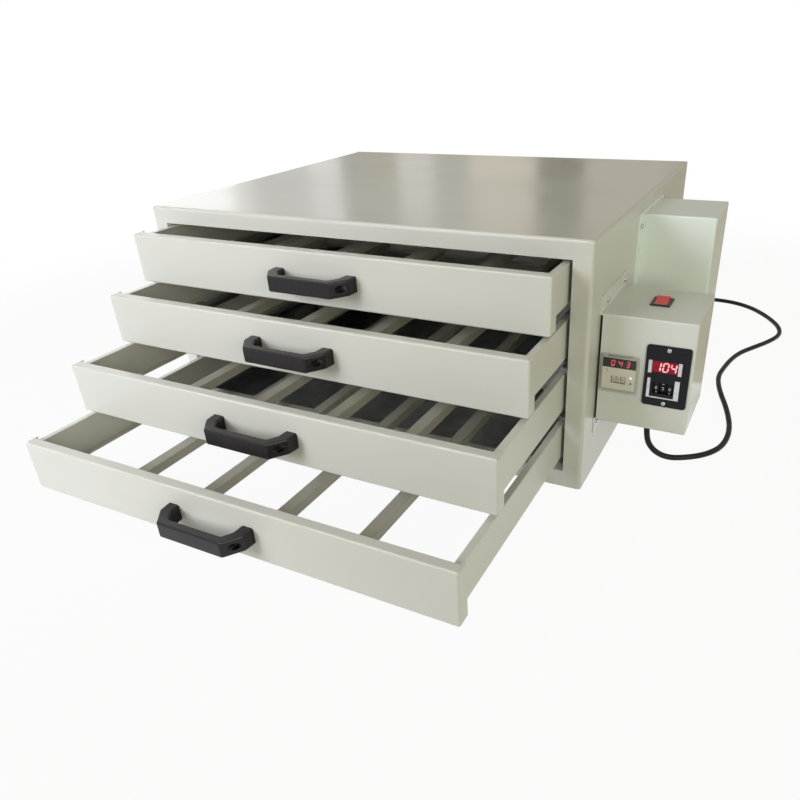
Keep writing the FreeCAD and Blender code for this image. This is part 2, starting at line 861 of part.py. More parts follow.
def make_fan_rotor():
    """Impeller: a hub that turns on the axle, with pitched blades."""
    c = fan_centre()
    y1 = fan_y1 - fan_sheet - 1.5
    y0 = fan_y1 - fan_sheet - fan_thick + 5.0
    depth = y1 - y0
    hub = cylinder(fan_hub / 2, depth, V(c.x, y0, c.z), Y_AXIS)
    blades = []
    reach = fan_bore / 2 - fan_blade_tip_gap
    chord = (depth - 2.0) / math.cos(math.radians(fan_blade_pitch))
    for i in range(fan_blades):
        blade = box(fan_hub / 2 - 2.0, reach, -chord / 2, chord / 2, -fan_blade_thick / 2, fan_blade_thick / 2)
        blade.rotate(V(0, 0, 0), X_AXIS, fan_blade_pitch)
        blade.rotate(V(0, 0, 0), Y_AXIS, 360.0 * i / fan_blades)
        blade.translate(V(c.x, (y0 + y1) / 2, c.z))
        blades.append(blade)
    space = cylinder(reach, depth, V(c.x, y0, c.z), Y_AXIS)
    rotor = fuse([hub] + blades).common(space)
    bore = cylinder(fan_axle / 2 + fan_axle_gap, depth + 2, V(c.x, y0 - 1, c.z), Y_AXIS)
    return cut(rotor, [bore])


def make_fan_guard():
    """Wire guard over the fan's opening: welded rings on two crossed wires, four eyes and their screws."""
    c = fan_centre()
    r = guard_wire / 2
    y = fan_y1 + guard_stand
    reach = fan_hole_pitch / 2 * math.sqrt(2)
    wires = []
    for i in range(1, guard_rings + 1):
        radius = fan_bore / 2 * i / guard_rings
        wires.append(Part.makeTorus(radius, r, V(c.x, y + 1.4 * r, c.z), Y_AXIS))
    for angle in (45, 135):
        wire = cylinder(r, 2 * reach, V(-reach, 0, 0), X_AXIS)
        wire.rotate(V(0, 0, 0), Y_AXIS, angle)
        wire.translate(V(c.x, y, c.z))
        wires.append(wire)
        y = y - 1.4 * r
    eyes = []
    screws = []
    for place in fan_corner_holes():
        stand = y - fan_y1 + 2.8 * r
        eye = cylinder(guard_eye / 2, stand, place, Y_AXIS)
        eyes.append(eye)
        seat = place + Y_AXIS * stand
        screws.append(pan_screw(screw_head, screw_head_height, screw_thread, fan_screw_length + stand, seat,
                                Y_AXIS * -1))
    guard = cut(fuse(wires + eyes), [cylinder(screw_thread / 2, 4 * guard_stand, p - Y_AXIS * guard_stand, Y_AXIS)
                                     for p in fan_corner_holes()])
    return group(guard.Solids + screws)


def heater_places():
    """Places along X of the heater's two legs, and its place along Y."""
    xm = right + fan_width / 2
    return (xm - heater_spread / 2, xm + heater_spread / 2), fan_y0 + heater_offset


def make_heater():
    """Finned hairpin heater with two connecting pins."""
    (xa, xb), y = heater_places()
    r = heater_rod / 2
    z0 = heater_low + heater_spread / 2
    z1 = heater_low + heater_spread / 2 + heater_length
    legs = [cylinder(r, z1 - z0, V(x, y, z0), Z_AXIS) for x in (xa, xb)]
    bend = Part.makeTorus(heater_spread / 2, r, V((xa + xb) / 2, y, z0), Y_AXIS)
    keep = box(xa - 2 * r, xb + 2 * r, y - 2 * r, y + 2 * r, z0 - heater_spread, z0)
    bend = bend.common(keep)
    pins = [cylinder(heater_pin / 2, heater_pin_length, V(x, y, z1), Z_AXIS) for x in (xa, xb)]
    fins = []
    count = int((heater_length - 30.0) / heater_fin_pitch)
    for x in (xa, xb):
        for i in range(count):
            fins.append(cylinder(heater_fin / 2, heater_fin_thick, V(x, y, z0 + 6.0 + i * heater_fin_pitch), Z_AXIS))
    return fuse(legs + [bend] + pins + fins)


def make_heater_bracket():
    """Plate that carries the heater from the housing's front wall."""
    (xa, xb), y = heater_places()
    z0 = heater_low + heater_spread / 2 + heater_length - 12.0
    xm = (xa + xb) / 2
    y0 = fan_y0 + fan_sheet
    plate = box(xm - heater_plate_width / 2, xm + heater_plate_width / 2, y0, y0 + heater_plate_depth,
                z0, z0 + heater_plate)
    tab = box(xm - heater_plate_width / 2, xm + heater_plate_width / 2, y0, y0 + heater_plate,
              z0, z0 + 16.0)
    holes = [cylinder(heater_rod / 2, 3 * heater_plate, V(x, y, z0 - heater_plate), Z_AXIS) for x in (xa, xb)]
    return cut(fuse([plate, tab]), holes)


def probe_place():
    """Where the probe passes the outside of the cabinet's right side, above the second drawer's runner."""
    return V(right, front + probe_y, runner_top(1) + probe_rise)


def make_probe():
    """Temperature probe through the cabinet's side, with its nut inside the control box."""
    start = probe_place() - X_AXIS * (sheet + probe_length)
    tube = cylinder(probe_tube / 2, probe_length + sheet + 12.0, start, X_AXIS)
    tip = Part.makeSphere(probe_tube / 2, start)
    flats = Part.makePolygon(hexagon(probe_nut, probe_place(), X_AXIS))
    nut = Part.Face(flats).extrude(X_AXIS * probe_nut_thick)
    return fuse([tube, tip, nut])


def hexagon(across, centre, axis):
    """Closed ring of six corners, by the size across its flats."""
    radius = across / math.sqrt(3)
    side = Y_AXIS if near(abs(axis.dot(X_AXIS)), 1) else X_AXIS
    up = axis.cross(side)
    ring = []
    for i in range(7):
        a = math.radians(60 * i)
        ring.append(centre + side * (radius * math.cos(a)) + up * (radius * math.sin(a)))
    return ring


# Temperature controller
def make_controller_case():
    """Body of the temperature controller with its square bezel and an open face."""
    x0, x1, z0, z1 = controller_box()
    xm = (x0 + x1) / 2
    zm = (z0 + z1) / 2
    y0 = box_y0 - ctl_bezel
    bezel = box(x0, x1, y0, box_y0, z0, z1)
    bezel = rounded(bezel, 1.2, lambda mid, run: along(run, Y_AXIS) or near(mid.y, y0))
    half = ctl_body / 2
    body = box(xm - half, xm + half, box_y0, box_y0 + ctl_body_depth, zm - half, zm + half)
    pocket = box(xm - ctl_face / 2, xm + ctl_face / 2, y0 - 1, y0 + ctl_face_depth, zm - ctl_face / 2,
                 zm + ctl_face / 2)
    row_y, row_z, row_x = controller_wheel_places()
    room = wheel_radius + wheel_window_gap
    span = 3 * wheel_pitch + 2.0
    well = box(xm - span / 2, xm + span / 2, y0 - 1, row_y + room, row_z - room, row_z + room)
    axle = cylinder(wheel_axle / 2, span + 4.0, V(xm - span / 2 - 2.0, row_y, row_z), X_AXIS)
    whole = cut(fuse([bezel, body]), [pocket, well])
    hinge = cover_hinge()
    lugs = []
    for side in (-1, 1):
        xa = hinge.x + side * (hinge_width / 2 + hinge_side_gap)
        xb = xa + side * hinge_lug
        lugs.append(cylinder(hinge_barrel / 2, hinge_lug, V(min(xa, xb), hinge.y, hinge.z), X_AXIS))
        lugs.append(box(min(xa, xb), max(xa, xb), hinge.y - hinge_barrel / 2, box_y0, z1 - 1.0, hinge.z))
    length = hinge_width + 2 * hinge_side_gap + 2 * hinge_lug
    pin = cylinder(hinge_pin / 2, length, V(hinge.x - length / 2, hinge.y, hinge.z), X_AXIS)
    return fuse([whole, axle, pin] + lugs)


def cover_hinge():
    """Middle of the cover's hinge, just above the controller's bezel."""
    x0, x1, z0, z1 = controller_box()
    return V((x0 + x1) / 2, box_y0 - hinge_barrel / 2 - hinge_clear / 2, z1 + hinge_rise)


def controller_wheel_places():
    """Axis height of the controller's thumbwheels along Y and Z, and their places along X."""
    x0, x1, z0, z1 = controller_box()
    xm = (x0 + x1) / 2
    y = box_y0 - ctl_bezel + ctl_face_depth - wheel_proud + wheel_radius
    z = z0 + (ctl_size - ctl_band) * 0.45
    return y, z, [xm - wheel_pitch, xm, xm + wheel_pitch]


def make_controller_face():
    """Pale lower plate of the controller, with the window of its thumbwheels."""
    x0, x1, z0, z1 = controller_box()
    xm = (x0 + x1) / 2
    zm = (z0 + z1) / 2
    y0 = box_y0 - ctl_bezel
    half = ctl_face / 2
    top = zm + half - ctl_band
    plate = box(xm - half, xm + half, y0, y0 + ctl_face_depth, zm - half, top)
    row_y, row_z, row_x = controller_wheel_places()
    span = 3 * wheel_pitch + 0.6
    reach = math.sqrt(wheel_radius ** 2 - (wheel_radius - wheel_proud - 0.2) ** 2) + 1.6
    window = box(xm - span / 2, xm + span / 2, y0 - 1, y0 + ctl_face_depth + 1, row_z - reach, row_z + reach)
    lamp = cylinder(1.4, 3.0, V(x1 - 7.5, y0 - 1, row_z + 5.0), Y_AXIS)
    return cut(plate, [window, lamp])


def make_controller_window():
    """Dark display window of the controller."""
    x0, x1, z0, z1 = controller_box()
    xm = (x0 + x1) / 2
    zm = (z0 + z1) / 2
    y0 = box_y0 - ctl_bezel
    half = ctl_face / 2
    return box(xm - half, xm + half, y0, y0 + ctl_face_depth, zm + half - ctl_band, zm + half)


def make_controller_cover():
    """Clear hinged cover over the controller's face."""
    x0, x1, z0, z1 = controller_box()
    g = cover_gap
    w = cover_wall
    y1 = box_y0 - 0.4
    y0 = y1 - cover_depth
    outer = box(x0 - g - w, x1 + g + w, y0, y1, z0 - g - w, z1 + g + w)
    outer = rounded(outer, 1.0, lambda mid, run: along(run, Y_AXIS) or near(mid.y, y0))
    inner = box(x0 - g, x1 + g, y0 + w, y1 + 1, z0 - g, z1 + g)
    hinge = cover_hinge()
    notch = box(x0 - g, x1 + g, hinge.y - hinge_barrel / 2 - hinge_clear, y1 + 1, z1 + g / 2, z1 + g + 2 * w)
    shell = cut(outer, [inner, notch])
    barrel = cylinder(hinge_barrel / 2, hinge_width, V(hinge.x - hinge_width / 2, hinge.y, hinge.z), X_AXIS)
    web = box(hinge.x - hinge_width / 2, hinge.x + hinge_width / 2, hinge.y - hinge_barrel / 2 - 2 * hinge_clear,
              hinge.y, z1 + g, z1 + g + w)
    bore = cylinder(hinge_pin / 2 + hinge_pin_gap, 2 * hinge_width, V(hinge.x - hinge_width, hinge.y, hinge.z), X_AXIS)
    return cut(fuse([shell, barrel, web]), [bore])


def make_wheel(x, y, z, radius, width, axle):
    """One thumbwheel of a digit switch: ten shallow notches round its rim."""
    body = cylinder(radius, width, V(x - width / 2, y, z), X_AXIS)
    notches = []
    for i in range(10):
        a = math.radians(36 * i + 18)
        centre = V(x - width, y - math.cos(a) * (radius + 0.55), z + math.sin(a) * (radius + 0.55))
        notches.append(cylinder(1.0, 2 * width, centre, X_AXIS))
    bore = cylinder(axle / 2 + wheel_axle_gap, 2 * width, V(x - width, y, z), X_AXIS)
    return cut(body, notches + [bore])


# Timer
def timer_wheel_places():
    """Axis of the timer's thumbwheels along Y and Z, and their places along X."""
    x0, x1, z0, z1 = timer_box()
    xm = (x0 + x1) / 2 + timer_shift
    z = z1 - timer_low_drop - timer_low_height / 2
    y = box_y0 - timer_plate + 0.4 + timer_wheel_radius
    return y, z, [xm - timer_wheel_pitch, xm, xm + timer_wheel_pitch]


def make_timer_plate():
    """Black front plate of the timer with openings for its display and thumbwheels."""
    x0, x1, z0, z1 = timer_box()
    xm = (x0 + x1) / 2
    y0 = box_y0 - timer_plate
    plate = rounded_plate(x0, x1, z0, z1, y0, box_y0, timer_corner)
    wz = z1 - timer_frame_drop
    half = timer_frame_width / 2 - timer_frame_side
    xw = xm + timer_shift
    tools = [box(xw - half, xw + half, y0 - 1, box_y0 + 1, wz - (timer_frame_height + timer_window_height) / 2,
                 wz - (timer_frame_height - timer_window_height) / 2)]
    row_y, row_z, row_x = timer_wheel_places()
    span = 3 * timer_wheel_pitch + 0.6
    reach = math.sqrt(timer_wheel_radius ** 2 - (timer_wheel_radius - 2.0) ** 2) + 1.0
    tools.append(box(xw - span / 2, xw + span / 2, y0 - 1, box_y0 + 1, row_z - reach, row_z + reach))
    for z in (z0 + timer_screw_inset, z1 - timer_screw_inset):
        tools.append(cylinder(timer_screw / 2, 3 * timer_plate, V(xm, y0 - 1, z), Y_AXIS))
    return cut(plate, tools)


def make_timer_window():
    """Dark red display window of the timer, let into its plate."""
    x0, x1, z0, z1 = timer_box()
    xm = (x0 + x1) / 2 + timer_shift
    y0 = box_y0 - timer_plate
    wz = z1 - timer_frame_drop
    half = timer_frame_width / 2 - timer_frame_side
    return box(xm - half, xm + half, y0 + 0.4, box_y0, wz - (timer_frame_height + timer_window_height) / 2,
               wz - (timer_frame_height - timer_window_height) / 2)


def make_timer_frames():
    """Silver trims of the timer: two bars beside the display and a frame round the thumbwheels."""
    x0, x1, z0, z1 = timer_box()
    xm = (x0 + x1) / 2 + timer_shift
    y1 = box_y0 - timer_plate
    y0 = y1 - timer_frame_proud
    half = timer_frame_width / 2
    top = z1 - timer_frame_drop
    parts = []
    for s in (-1, 1):
        a = xm + s * half
        b = xm + s * (half - timer_frame_side)
        parts.append(box(min(a, b), max(a, b), y0, y1, top - timer_frame_height, top))
    half = timer_low_width / 2
    top = z1 - timer_low_drop
    low = top - timer_low_height
    frame = box(xm - half, xm + half, y0, y1, low, top)
    hole = box(xm - half + timer_low_side, xm + half - timer_low_wide_side, y0 - 1, y1 + 1, low + timer_low_rim,
               top + 1)
    parts.append(frame.cut(hole))
    return group(parts)


def make_timer_case():
    """Body of the timer inside the control box, open behind its thumbwheels."""
    x0, x1, z0, z1 = timer_box()
    xm = (x0 + x1) / 2
    zm = (z0 + z1) / 2
    body = box(xm - timer_body_width / 2, xm + timer_body_width / 2, box_y0, box_y0 + timer_body_depth,
               zm - timer_body_height / 2, zm + timer_body_height / 2)
    row_y, row_z, row_x = timer_wheel_places()
    room = timer_wheel_radius + wheel_window_gap
    span = 3 * timer_wheel_pitch + 2.0
    xw = xm + timer_shift
    well = box(xw - span / 2, xw + span / 2, box_y0 - 1, row_y + room, row_z - room, row_z + room)
    axle = cylinder(wheel_axle / 2, span + 4.0, V(xw - span / 2 - 2.0, row_y, row_z), X_AXIS)
    return fuse([cut(body, [well]), axle])


def make_timer_screws():
    """Two screws that hold the timer's plate to the box."""
    x0, x1, z0, z1 = timer_box()
    xm = (x0 + x1) / 2
    seat_y = box_y0 - timer_plate
    screws = []
    for z in (z0 + timer_screw_inset, z1 - timer_screw_inset):
        seat = V(xm, seat_y, z)
        body = pan_screw(timer_head, timer_head_height, timer_screw, timer_plate + 5.0, seat, Y_AXIS)
        corner = V(xm - timer_head, seat_y - timer_head_height - 1, z - 0.35)
        slot = block_from(corner, X_AXIS * 2 * timer_head, Z_AXIS * 0.7, Y_AXIS * (1 + timer_head_height * 0.45))
        screws.append(body.cut(slot))
    return group(screws)


# Rocker switch
def rocker_place():
    """Middle of the rocker switch on the top of the control box."""
    return V(box_x0 + rocker_centre_x, box_y0 + rocker_centre_y, box_z1)


def rocker_pivot():
    """Pivot of the rocker's key."""
    return rocker_place() + Z_AXIS * (rocker_bezel_thick - rocker_pivot_depth)


def make_rocker_housing():
    """Black housing of the rocker switch with its bezel, clips, tabs and pivot pin."""
    c = rocker_place()
    bezel = box(c.x - rocker_bezel_x / 2, c.x + rocker_bezel_x / 2, c.y - rocker_bezel_y / 2,
                c.y + rocker_bezel_y / 2, c.z, c.z + rocker_bezel_thick)
    bezel = rounded(bezel, 1.0, lambda mid, run: along(run, Z_AXIS) or near(mid.z, c.z + rocker_bezel_thick))
    body = box(c.x - rocker_body_x / 2, c.x + rocker_body_x / 2, c.y - rocker_body_y / 2,
               c.y + rocker_body_y / 2, c.z - rocker_body_depth, c.z)
    half_x = rocker_key_x / 2 + rocker_key_gap_x
    half_y = rocker_key_y / 2 + rocker_key_gap_y
    well = box(c.x - half_x, c.x + half_x, c.y - half_y, c.y + half_y, c.z - rocker_well,
               c.z + rocker_bezel_thick + 1)
    p = rocker_pivot()
    pin = cylinder(rocker_pin / 2, rocker_body_x - 2.0, V(c.x - rocker_body_x / 2 + 1.0, p.y, p.z), X_AXIS)
    tabs = []
    for i in (-1, 0, 1):
        y = c.y + i * 9.0
        tabs.append(box(c.x - rocker_tab_width / 2, c.x + rocker_tab_width / 2, y - rocker_tab_thick / 2,
                        y + rocker_tab_thick / 2, c.z - rocker_body_depth - rocker_tab_length,
                        c.z - rocker_body_depth))
    shell = cut(fuse([bezel, body]), [well])
    return fuse([shell, pin] + tabs)


def make_rocker_key():
    """Red rocker key: its two halves slope down from the pivot, and one end is pressed in."""
    c = rocker_place()
    p = rocker_pivot()
    half = rocker_key_y / 2
    rise = half * math.tan(math.radians(rocker_tilt))
    top = rocker_bezel_thick - 0.4
    # Profile in the plane of the tilt with the key level, then tilted about the pivot
    profile = [V(0, -half, top + rise - p.z + c.z), V(0, 0, top - p.z + c.z), V(0, half, top + rise - p.z + c.z),
               V(0, half * 0.78, -3.2), V(0, 0, -5.0), V(0, -half * 0.78, -3.2)]
    face = Part.Face(Part.makePolygon(profile + profile[:1]))
    key = face.extrude(X_AXIS * rocker_key_x)
    key.translate(X_AXIS * (-rocker_key_x / 2))
    key = key.cut(cylinder(rocker_pin / 2 + 0.1, rocker_key_x + 2, V(-rocker_key_x / 2 - 1, 0, 0), X_AXIS))
    key.rotate(V(0, 0, 0), X_AXIS, rocker_tilt)
    key.translate(p)
    return key


# Electrical parts
def make_terminal_block():
    """Terminal block on the inside of the control box's bottom."""
    x0 = box_x0 + 46.0
    y1 = box_y1 - box_sheet
    z0 = box_z0 + box_sheet
    base = box(x0, x0 + block_length, y1 - block_depth, y1, z0, z0 + block_height)
    tools = []
    step = block_length / block_poles
    for i in range(block_poles):
        x = x0 + step * (i + 0.5)
        tools.append(cylinder(2.2, 6.0, V(x, y1 - block_depth * 0.3, z0 + block_height - 5.0), Z_AXIS))
        tools.append(cylinder(2.0, 9.0, V(x, y1 - block_depth - 1, z0 + block_height * 0.4), Y_AXIS))
    return cut(base, tools)


def make_relay():
    """Power relay in its base, on the bottom of the control box."""
    x0 = box_x0 + 8.0
    y1 = box_y1 - box_sheet
    z0 = box_z0 + box_sheet
    base = box(x0, x0 + relay_width, y1 - relay_depth, y1, z0, z0 + relay_height * 0.35)
    inset = 2.0
    can = box(x0 + inset, x0 + relay_width - inset, y1 - relay_depth + inset, y1 - inset,
              z0 + relay_height * 0.35, z0 + relay_height)
    can = rounded(can, 1.5, lambda mid, run: along(run, Z_AXIS) or near(mid.z, z0 + relay_height))
    return fuse([base, can])


# Mains cord
def gland_place():
    """Where the cord passes the bottom of the control box."""
    return V(box_x0 + gland_x, box_y0 + gland_y, box_z0)


def cord_exit():
    """Where the cord leaves its strain relief."""
    return gland_place() - Z_AXIS * (gland_hex_height + relief_length)


def make_gland():
    """Cord gland: hexagon outside, nut inside and a tapered strain relief."""
    p = gland_place()
    thread = cylinder(gland_thread / 2, box_sheet + gland_nut_height, p, Z_AXIS)
    outer = Part.Face(Part.makePolygon(hexagon(gland_hex, p, Z_AXIS))).extrude(Z_AXIS * -gland_hex_height)
    nut = Part.Face(Part.makePolygon(hexagon(gland_hex, p + Z_AXIS * box_sheet, Z_AXIS)))
    nut = nut.extrude(Z_AXIS * gland_nut_height)
    relief = Part.makeCone(gland_thread / 2, relief_tip / 2, relief_length, p - Z_AXIS * gland_hex_height,
                           Z_AXIS * -1)
    return fuse([thread, outer, nut, relief])


def cord_points(end):
    """Route of the cord's free stretch, from the strain relief to where the coil starts."""
    e = cord_exit()
    r = cord_diameter / 2
    return [
        e,
        V(e.x, e.y, 39.4),
        V(e.x + 11.7, e.y + 5.3, 17.1),
        V(e.x + 32.0, e.y + 14.4, r),
        V(482, -161, r),
        V(505, -142, r),
        V(521, -116, r),
        V(527, -85, r),
        V(527, -50, r),
        V(521, -12, r),
        V(511, 29, r),
        V(498, 71, r),
        V(488, 111, r),
        V(483, 149, r),
        V(487, 187, r),
        V(494, 232, r),
        V(506, 273, r),
        V(528, 311, r),
        V(551, 350, r),
        V(568, 392, r),
        V(566, 433, r),
        V(550, 474, r),
        V(527, 512, r),
        V(499, 546, r),
        V(462, 570, r),
        V(419, 577, r),
        V(377, 572, r),
        V(339, 559, r),
        end + X_AXIS * 36,
        end,
    ]


def tangent_path(points):
    """Straight runs joined by tangent arcs, with the radii of the arcs."""
    radii = []
    ends = [(points[0], points[0])]
    arcs = []
    for i in range(1, len(points) - 1):
        before = points[i] - points[i - 1]
        after = points[i + 1] - points[i]
        short = min(before.Length, after.Length)
        a = V(before).normalize()
        b = V(after).normalize()
        turn = a.getAngle(b)
        trim = 0.45 * short
        radius = trim / math.tan(turn / 2)
        radii.append(radius)
        start = points[i] - a * trim
        end = points[i] + b * trim
        out = (b - a).normalize()
        middle = points[i] + out * (radius / math.cos(turn / 2) - radius)
        arcs.append((start, middle, end))
        ends.append((start, end))
    ends.append((points[-1], points[-1]))
    edges = []
    for i in range(len(ends) - 1):
        edges.append(Part.LineSegment(ends[i][1], ends[i + 1][0]).toShape())
        if i < len(arcs):
            edges.append(Part.Arc(*arcs[i]).toShape())
    return Part.Wire(edges), radii


def tube_along(path, start, direction, diameter):
    """A round tube along a path."""
    ring = Part.Wire([Part.makeCircle(diameter / 2, start, direction)])
    return path.makePipeShell([ring], True, False)


def coil_place(quarter):
    """Place on the coil's line after a number of quarter turns: in on the floor, then out on top."""
    last = 4.0 * coil_turns
    outer = coil_radius + coil_step * coil_turns / 4
    radius = outer - coil_step * min(quarter, last - quarter) / 4
    share = min(max((quarter - last / 2 + 1) / 2, 0.0), 1.0)
    climb = share * share * (3 - 2 * share)
    angle = math.pi / 2 * (quarter + 1)
    z = cord_diameter / 2 + climb * coil_layer
    return coil_centre + V(radius * math.cos(angle), radius * math.sin(angle), z)


def coil_direction(quarter):
    """Direction of the coil's line after a number of quarter turns."""
    if quarter in (0, 4 * coil_turns):
        return X_AXIS * -1
    return (coil_place(quarter + 0.05) - coil_place(quarter - 0.05)).normalize()


def report_gap(points, diameter):
    """Least gap of a coil's tube to itself, measured between points along its line."""
    least = 1e9
    reach = 2.5 * diameter
    step = (points[1] - points[0]).Length
    skip = int(reach / step) + 1
    for i in range(len(points)):
        for j in range(i + skip, len(points)):
            least = min(least, (points[i] - points[j]).Length)
    return least - diameter


def make_coil():
    """Put-away coil of the cord: one unbroken tube in two layers, with its two ends."""
    places = [coil_place(i) for i in range(4 * coil_turns + 1)]
    ways = [coil_direction(i) for i in range(4 * coil_turns + 1)]
    start = places[0] - ways[0] * cord_diameter
    end = places[-1] + ways[-1] * cord_diameter
    edges = [Part.LineSegment(start, places[0]).toShape()]
    for i in range(4 * coil_turns):
        edges += biarc(places[i], ways[i], places[i + 1], ways[i + 1])
    edges.append(Part.LineSegment(places[-1], end).toShape())
    path = Part.Wire(edges)
    tube = tube_along(path, start, ways[0], cord_diameter)
    samples = path.discretize(Number=600)
    print("coil least gap to itself", round(report_gap(samples, cord_diameter), 2), "length", round(path.Length, 1))
    return tube, start, end, ways[-1]


def biarc(p0, t0, p1, t1):
    """Two arcs that join two points with given directions, meeting smoothly."""
    v = p1 - p0
    t = t0 + t1
    vt = v.dot(t)
    denominator = 2 * (1 - t0.dot(t1))
    d = (-vt + math.sqrt(vt * vt + denominator * v.dot(v))) / denominator
    q0 = p0 + t0 * d
    q1 = p1 - t1 * d
    joint = (q0 + q1) * 0.5
    return [arc_from(p0, t0, joint), arc_from(joint, (q1 - q0).normalize(), p1)]


def arc_from(a, tangent, b):
    """An arc from a point and its direction there to another point."""
    chord = b - a
    across = chord - tangent * chord.dot(tangent)
    if across.Length < 1e-7:
        return Part.LineSegment(a, b).toShape()
    n = V(across).normalize()
    radius = chord.dot(chord) / (2 * chord.dot(n))
    centre = a + n * radius
    half = ((a + b) * 0.5 - centre).normalize()
    if chord.dot(tangent) < 0:
        half = half * -1
    return Part.Arc(a, centre + half * radius, b).toShape()


def make_plug(end, direction):
    """Moulded three-blade plug on the floor, with its tapered tail."""
    side = direction.cross(Z_AXIS)
    tail = Part.makeCone(cord_diameter / 2, plug_tail_end / 2, plug_tail, end, direction)
    centre = end + direction * plug_tail
    corner = centre - side * plug_width / 2 - Z_AXIS * plug_thick / 2
    body = block_from(corner, side * plug_width, Z_AXIS * plug_thick, direction * plug_length)
    body = body.makeFillet(plug_edge, body.Edges)
    blades = []
    tip = centre + direction * (plug_length - 1.0)
    for angle, offset, length in ((30, (-8.0, 5.0), plug_blade_length), (-30, (8.0, 5.0), plug_blade_length),
                                  (0, (0, -6.5), plug_blade_length + 3.0)):
        base = tip + side * offset[0] + Z_AXIS * offset[1]
        corner = base - Z_AXIS * plug_blade_width / 2 - side * plug_blade_thick / 2
        blade = block_from(corner, side * plug_blade_thick, Z_AXIS * plug_blade_width, direction * (length + 1.0))
        blade.rotate(base, direction, angle)
        blades.append(blade)
    return fuse([tail, body] + blades)


def make_cord(end_point):
    """Free stretch of the cord on the floor, up to the coil."""
    points = cord_points(end_point)
    path, radii = tangent_path(points)
    direction = (points[1] - points[0]).normalize()
    tube = tube_along(path, points[0], direction, cord_diameter)
    section = math.pi * (cord_diameter / 2) ** 2
    print("cord radii", [round(r) for r in radii])
    print("cord length", round(path.Length, 1), "volume ratio", round(tube.Volume / (section * path.Length), 4))
    return tube


os.makedirs("parts", exist_ok=True)

save("casing", make_casing())
save("front_frame", make_front_frame())
save("base_panel", make_base_panel())
save("back_panel", make_back_panel())
save("back_screws", make_back_screws())
save("runners_left", make_runners(-1))
save("runners_right", make_runners(1))
for number in range(drawer_count):
    name = "drawer_" + str(number + 1)
    save(name + "_front", make_drawer_front(number))
    save(name + "_tray", make_drawer_tray(number))
    save(name + "_bars", make_drawer_bars(number))
    save(name + "_handle", make_handle(number))
    save(name + "_handle_screws", make_handle_screws(number))
save("control_box", make_control_box())
save("control_box_screws", make_side_screws(box_screw_seats()))
save("fan_housing", make_fan_housing())
save("fan_housing_screws", make_side_screws(fan_screw_seats()))
save("fan_frame", make_fan_frame())
save("fan_rotor", make_fan_rotor())
save("fan_guard", make_fan_guard())
save("heater_element", make_heater())
save("heater_bracket", make_heater_bracket())
save("temperature_probe", make_probe())
save("controller_case", make_controller_case())
save("controller_face", make_controller_face())
save("controller_window", make_controller_window())
save("controller_cover", make_controller_cover())
wheel_y, wheel_z, wheel_x = controller_wheel_places()
for number, x in enumerate(wheel_x):
    save("controller_wheel_" + str(number + 1), make_wheel(x, wheel_y, wheel_z, wheel_radius, wheel_width, wheel_axle))
save("timer_plate", make_timer_plate())
save("timer_case", make_timer_case())
save("timer_window", make_timer_window())
save("timer_frames", make_timer_frames())
save("timer_screws", make_timer_screws())
wheel_y, wheel_z, wheel_x = timer_wheel_places()
for number, x in enumerate(wheel_x):
    save("timer_wheel_" + str(number + 1),
         make_wheel(x, wheel_y, wheel_z, timer_wheel_radius, timer_wheel_width, wheel_axle))
save("rocker_housing", make_rocker_housing())
save("rocker_key", make_rocker_key())
save("terminal_block", make_terminal_block())
save("power_relay", make_relay())
save("cable_gland", make_gland())
coil, coil_start, coil_end, coil_out = make_coil()
save("cord_coil", coil)
save("mains_cord", make_cord(coil_start))
save("mains_plug", make_plug(coil_end, coil_out))
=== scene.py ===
"""Looks of the screen drying cabinet: finishes, displays, digits, mains lead and studio."""

import logging
import math
from dataclasses import dataclass, field
from enum import Enum
from typing import Optional, Sequence

import bmesh
import bpy
from mathutils import Matrix, Vector


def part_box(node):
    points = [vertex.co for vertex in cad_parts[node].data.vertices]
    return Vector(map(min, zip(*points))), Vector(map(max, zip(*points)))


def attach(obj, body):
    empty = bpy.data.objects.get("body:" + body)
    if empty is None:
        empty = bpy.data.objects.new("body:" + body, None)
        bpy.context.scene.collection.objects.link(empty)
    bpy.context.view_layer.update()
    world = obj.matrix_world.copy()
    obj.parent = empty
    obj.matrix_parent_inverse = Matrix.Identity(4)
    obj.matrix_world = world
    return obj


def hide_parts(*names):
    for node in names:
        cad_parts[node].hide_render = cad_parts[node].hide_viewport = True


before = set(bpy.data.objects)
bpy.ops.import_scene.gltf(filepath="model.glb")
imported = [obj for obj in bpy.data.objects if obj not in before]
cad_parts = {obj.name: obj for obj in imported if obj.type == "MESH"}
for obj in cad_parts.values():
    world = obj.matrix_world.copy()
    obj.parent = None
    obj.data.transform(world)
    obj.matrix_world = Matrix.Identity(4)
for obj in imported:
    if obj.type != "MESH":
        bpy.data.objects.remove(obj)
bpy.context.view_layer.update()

log = logging.getLogger("drying_cabinet")

MM = 0.001
# Inputs and output of Blender's Mix node for colours, which share their names with those for numbers
MIX_A, MIX_B, MIX_RESULT = 6, 7, 2
# Faces that meet at more than this angle keep a sharp edge.
SHARP_EDGE = math.radians(32)
Colour = tuple[float, float, float, float]
Point = tuple[float, float, float]
Tree = bpy.types.NodeTree
Node = bpy.types.Node
Socket = bpy.types.NodeSocket
Shape = bmesh.types.BMesh
Ring = list[bmesh.types.BMVert]


def linear(hex_colour: str) -> Colour:
    """Turns an sRGB colour to linear light.

    Args:
        hex_colour: The colour as #RRGGBB.

    Returns:
        Red, green and blue in linear light, and an alpha of 1.
    """
    parts = [int(hex_colour[i:i + 2], 16) / 255 for i in (1, 3, 5)]
    red, green, blue = (p / 12.92 if p <= 0.04045 else ((p + 0.055) / 1.055) ** 2.4 for p in parts)
    return red, green, blue, 1.0


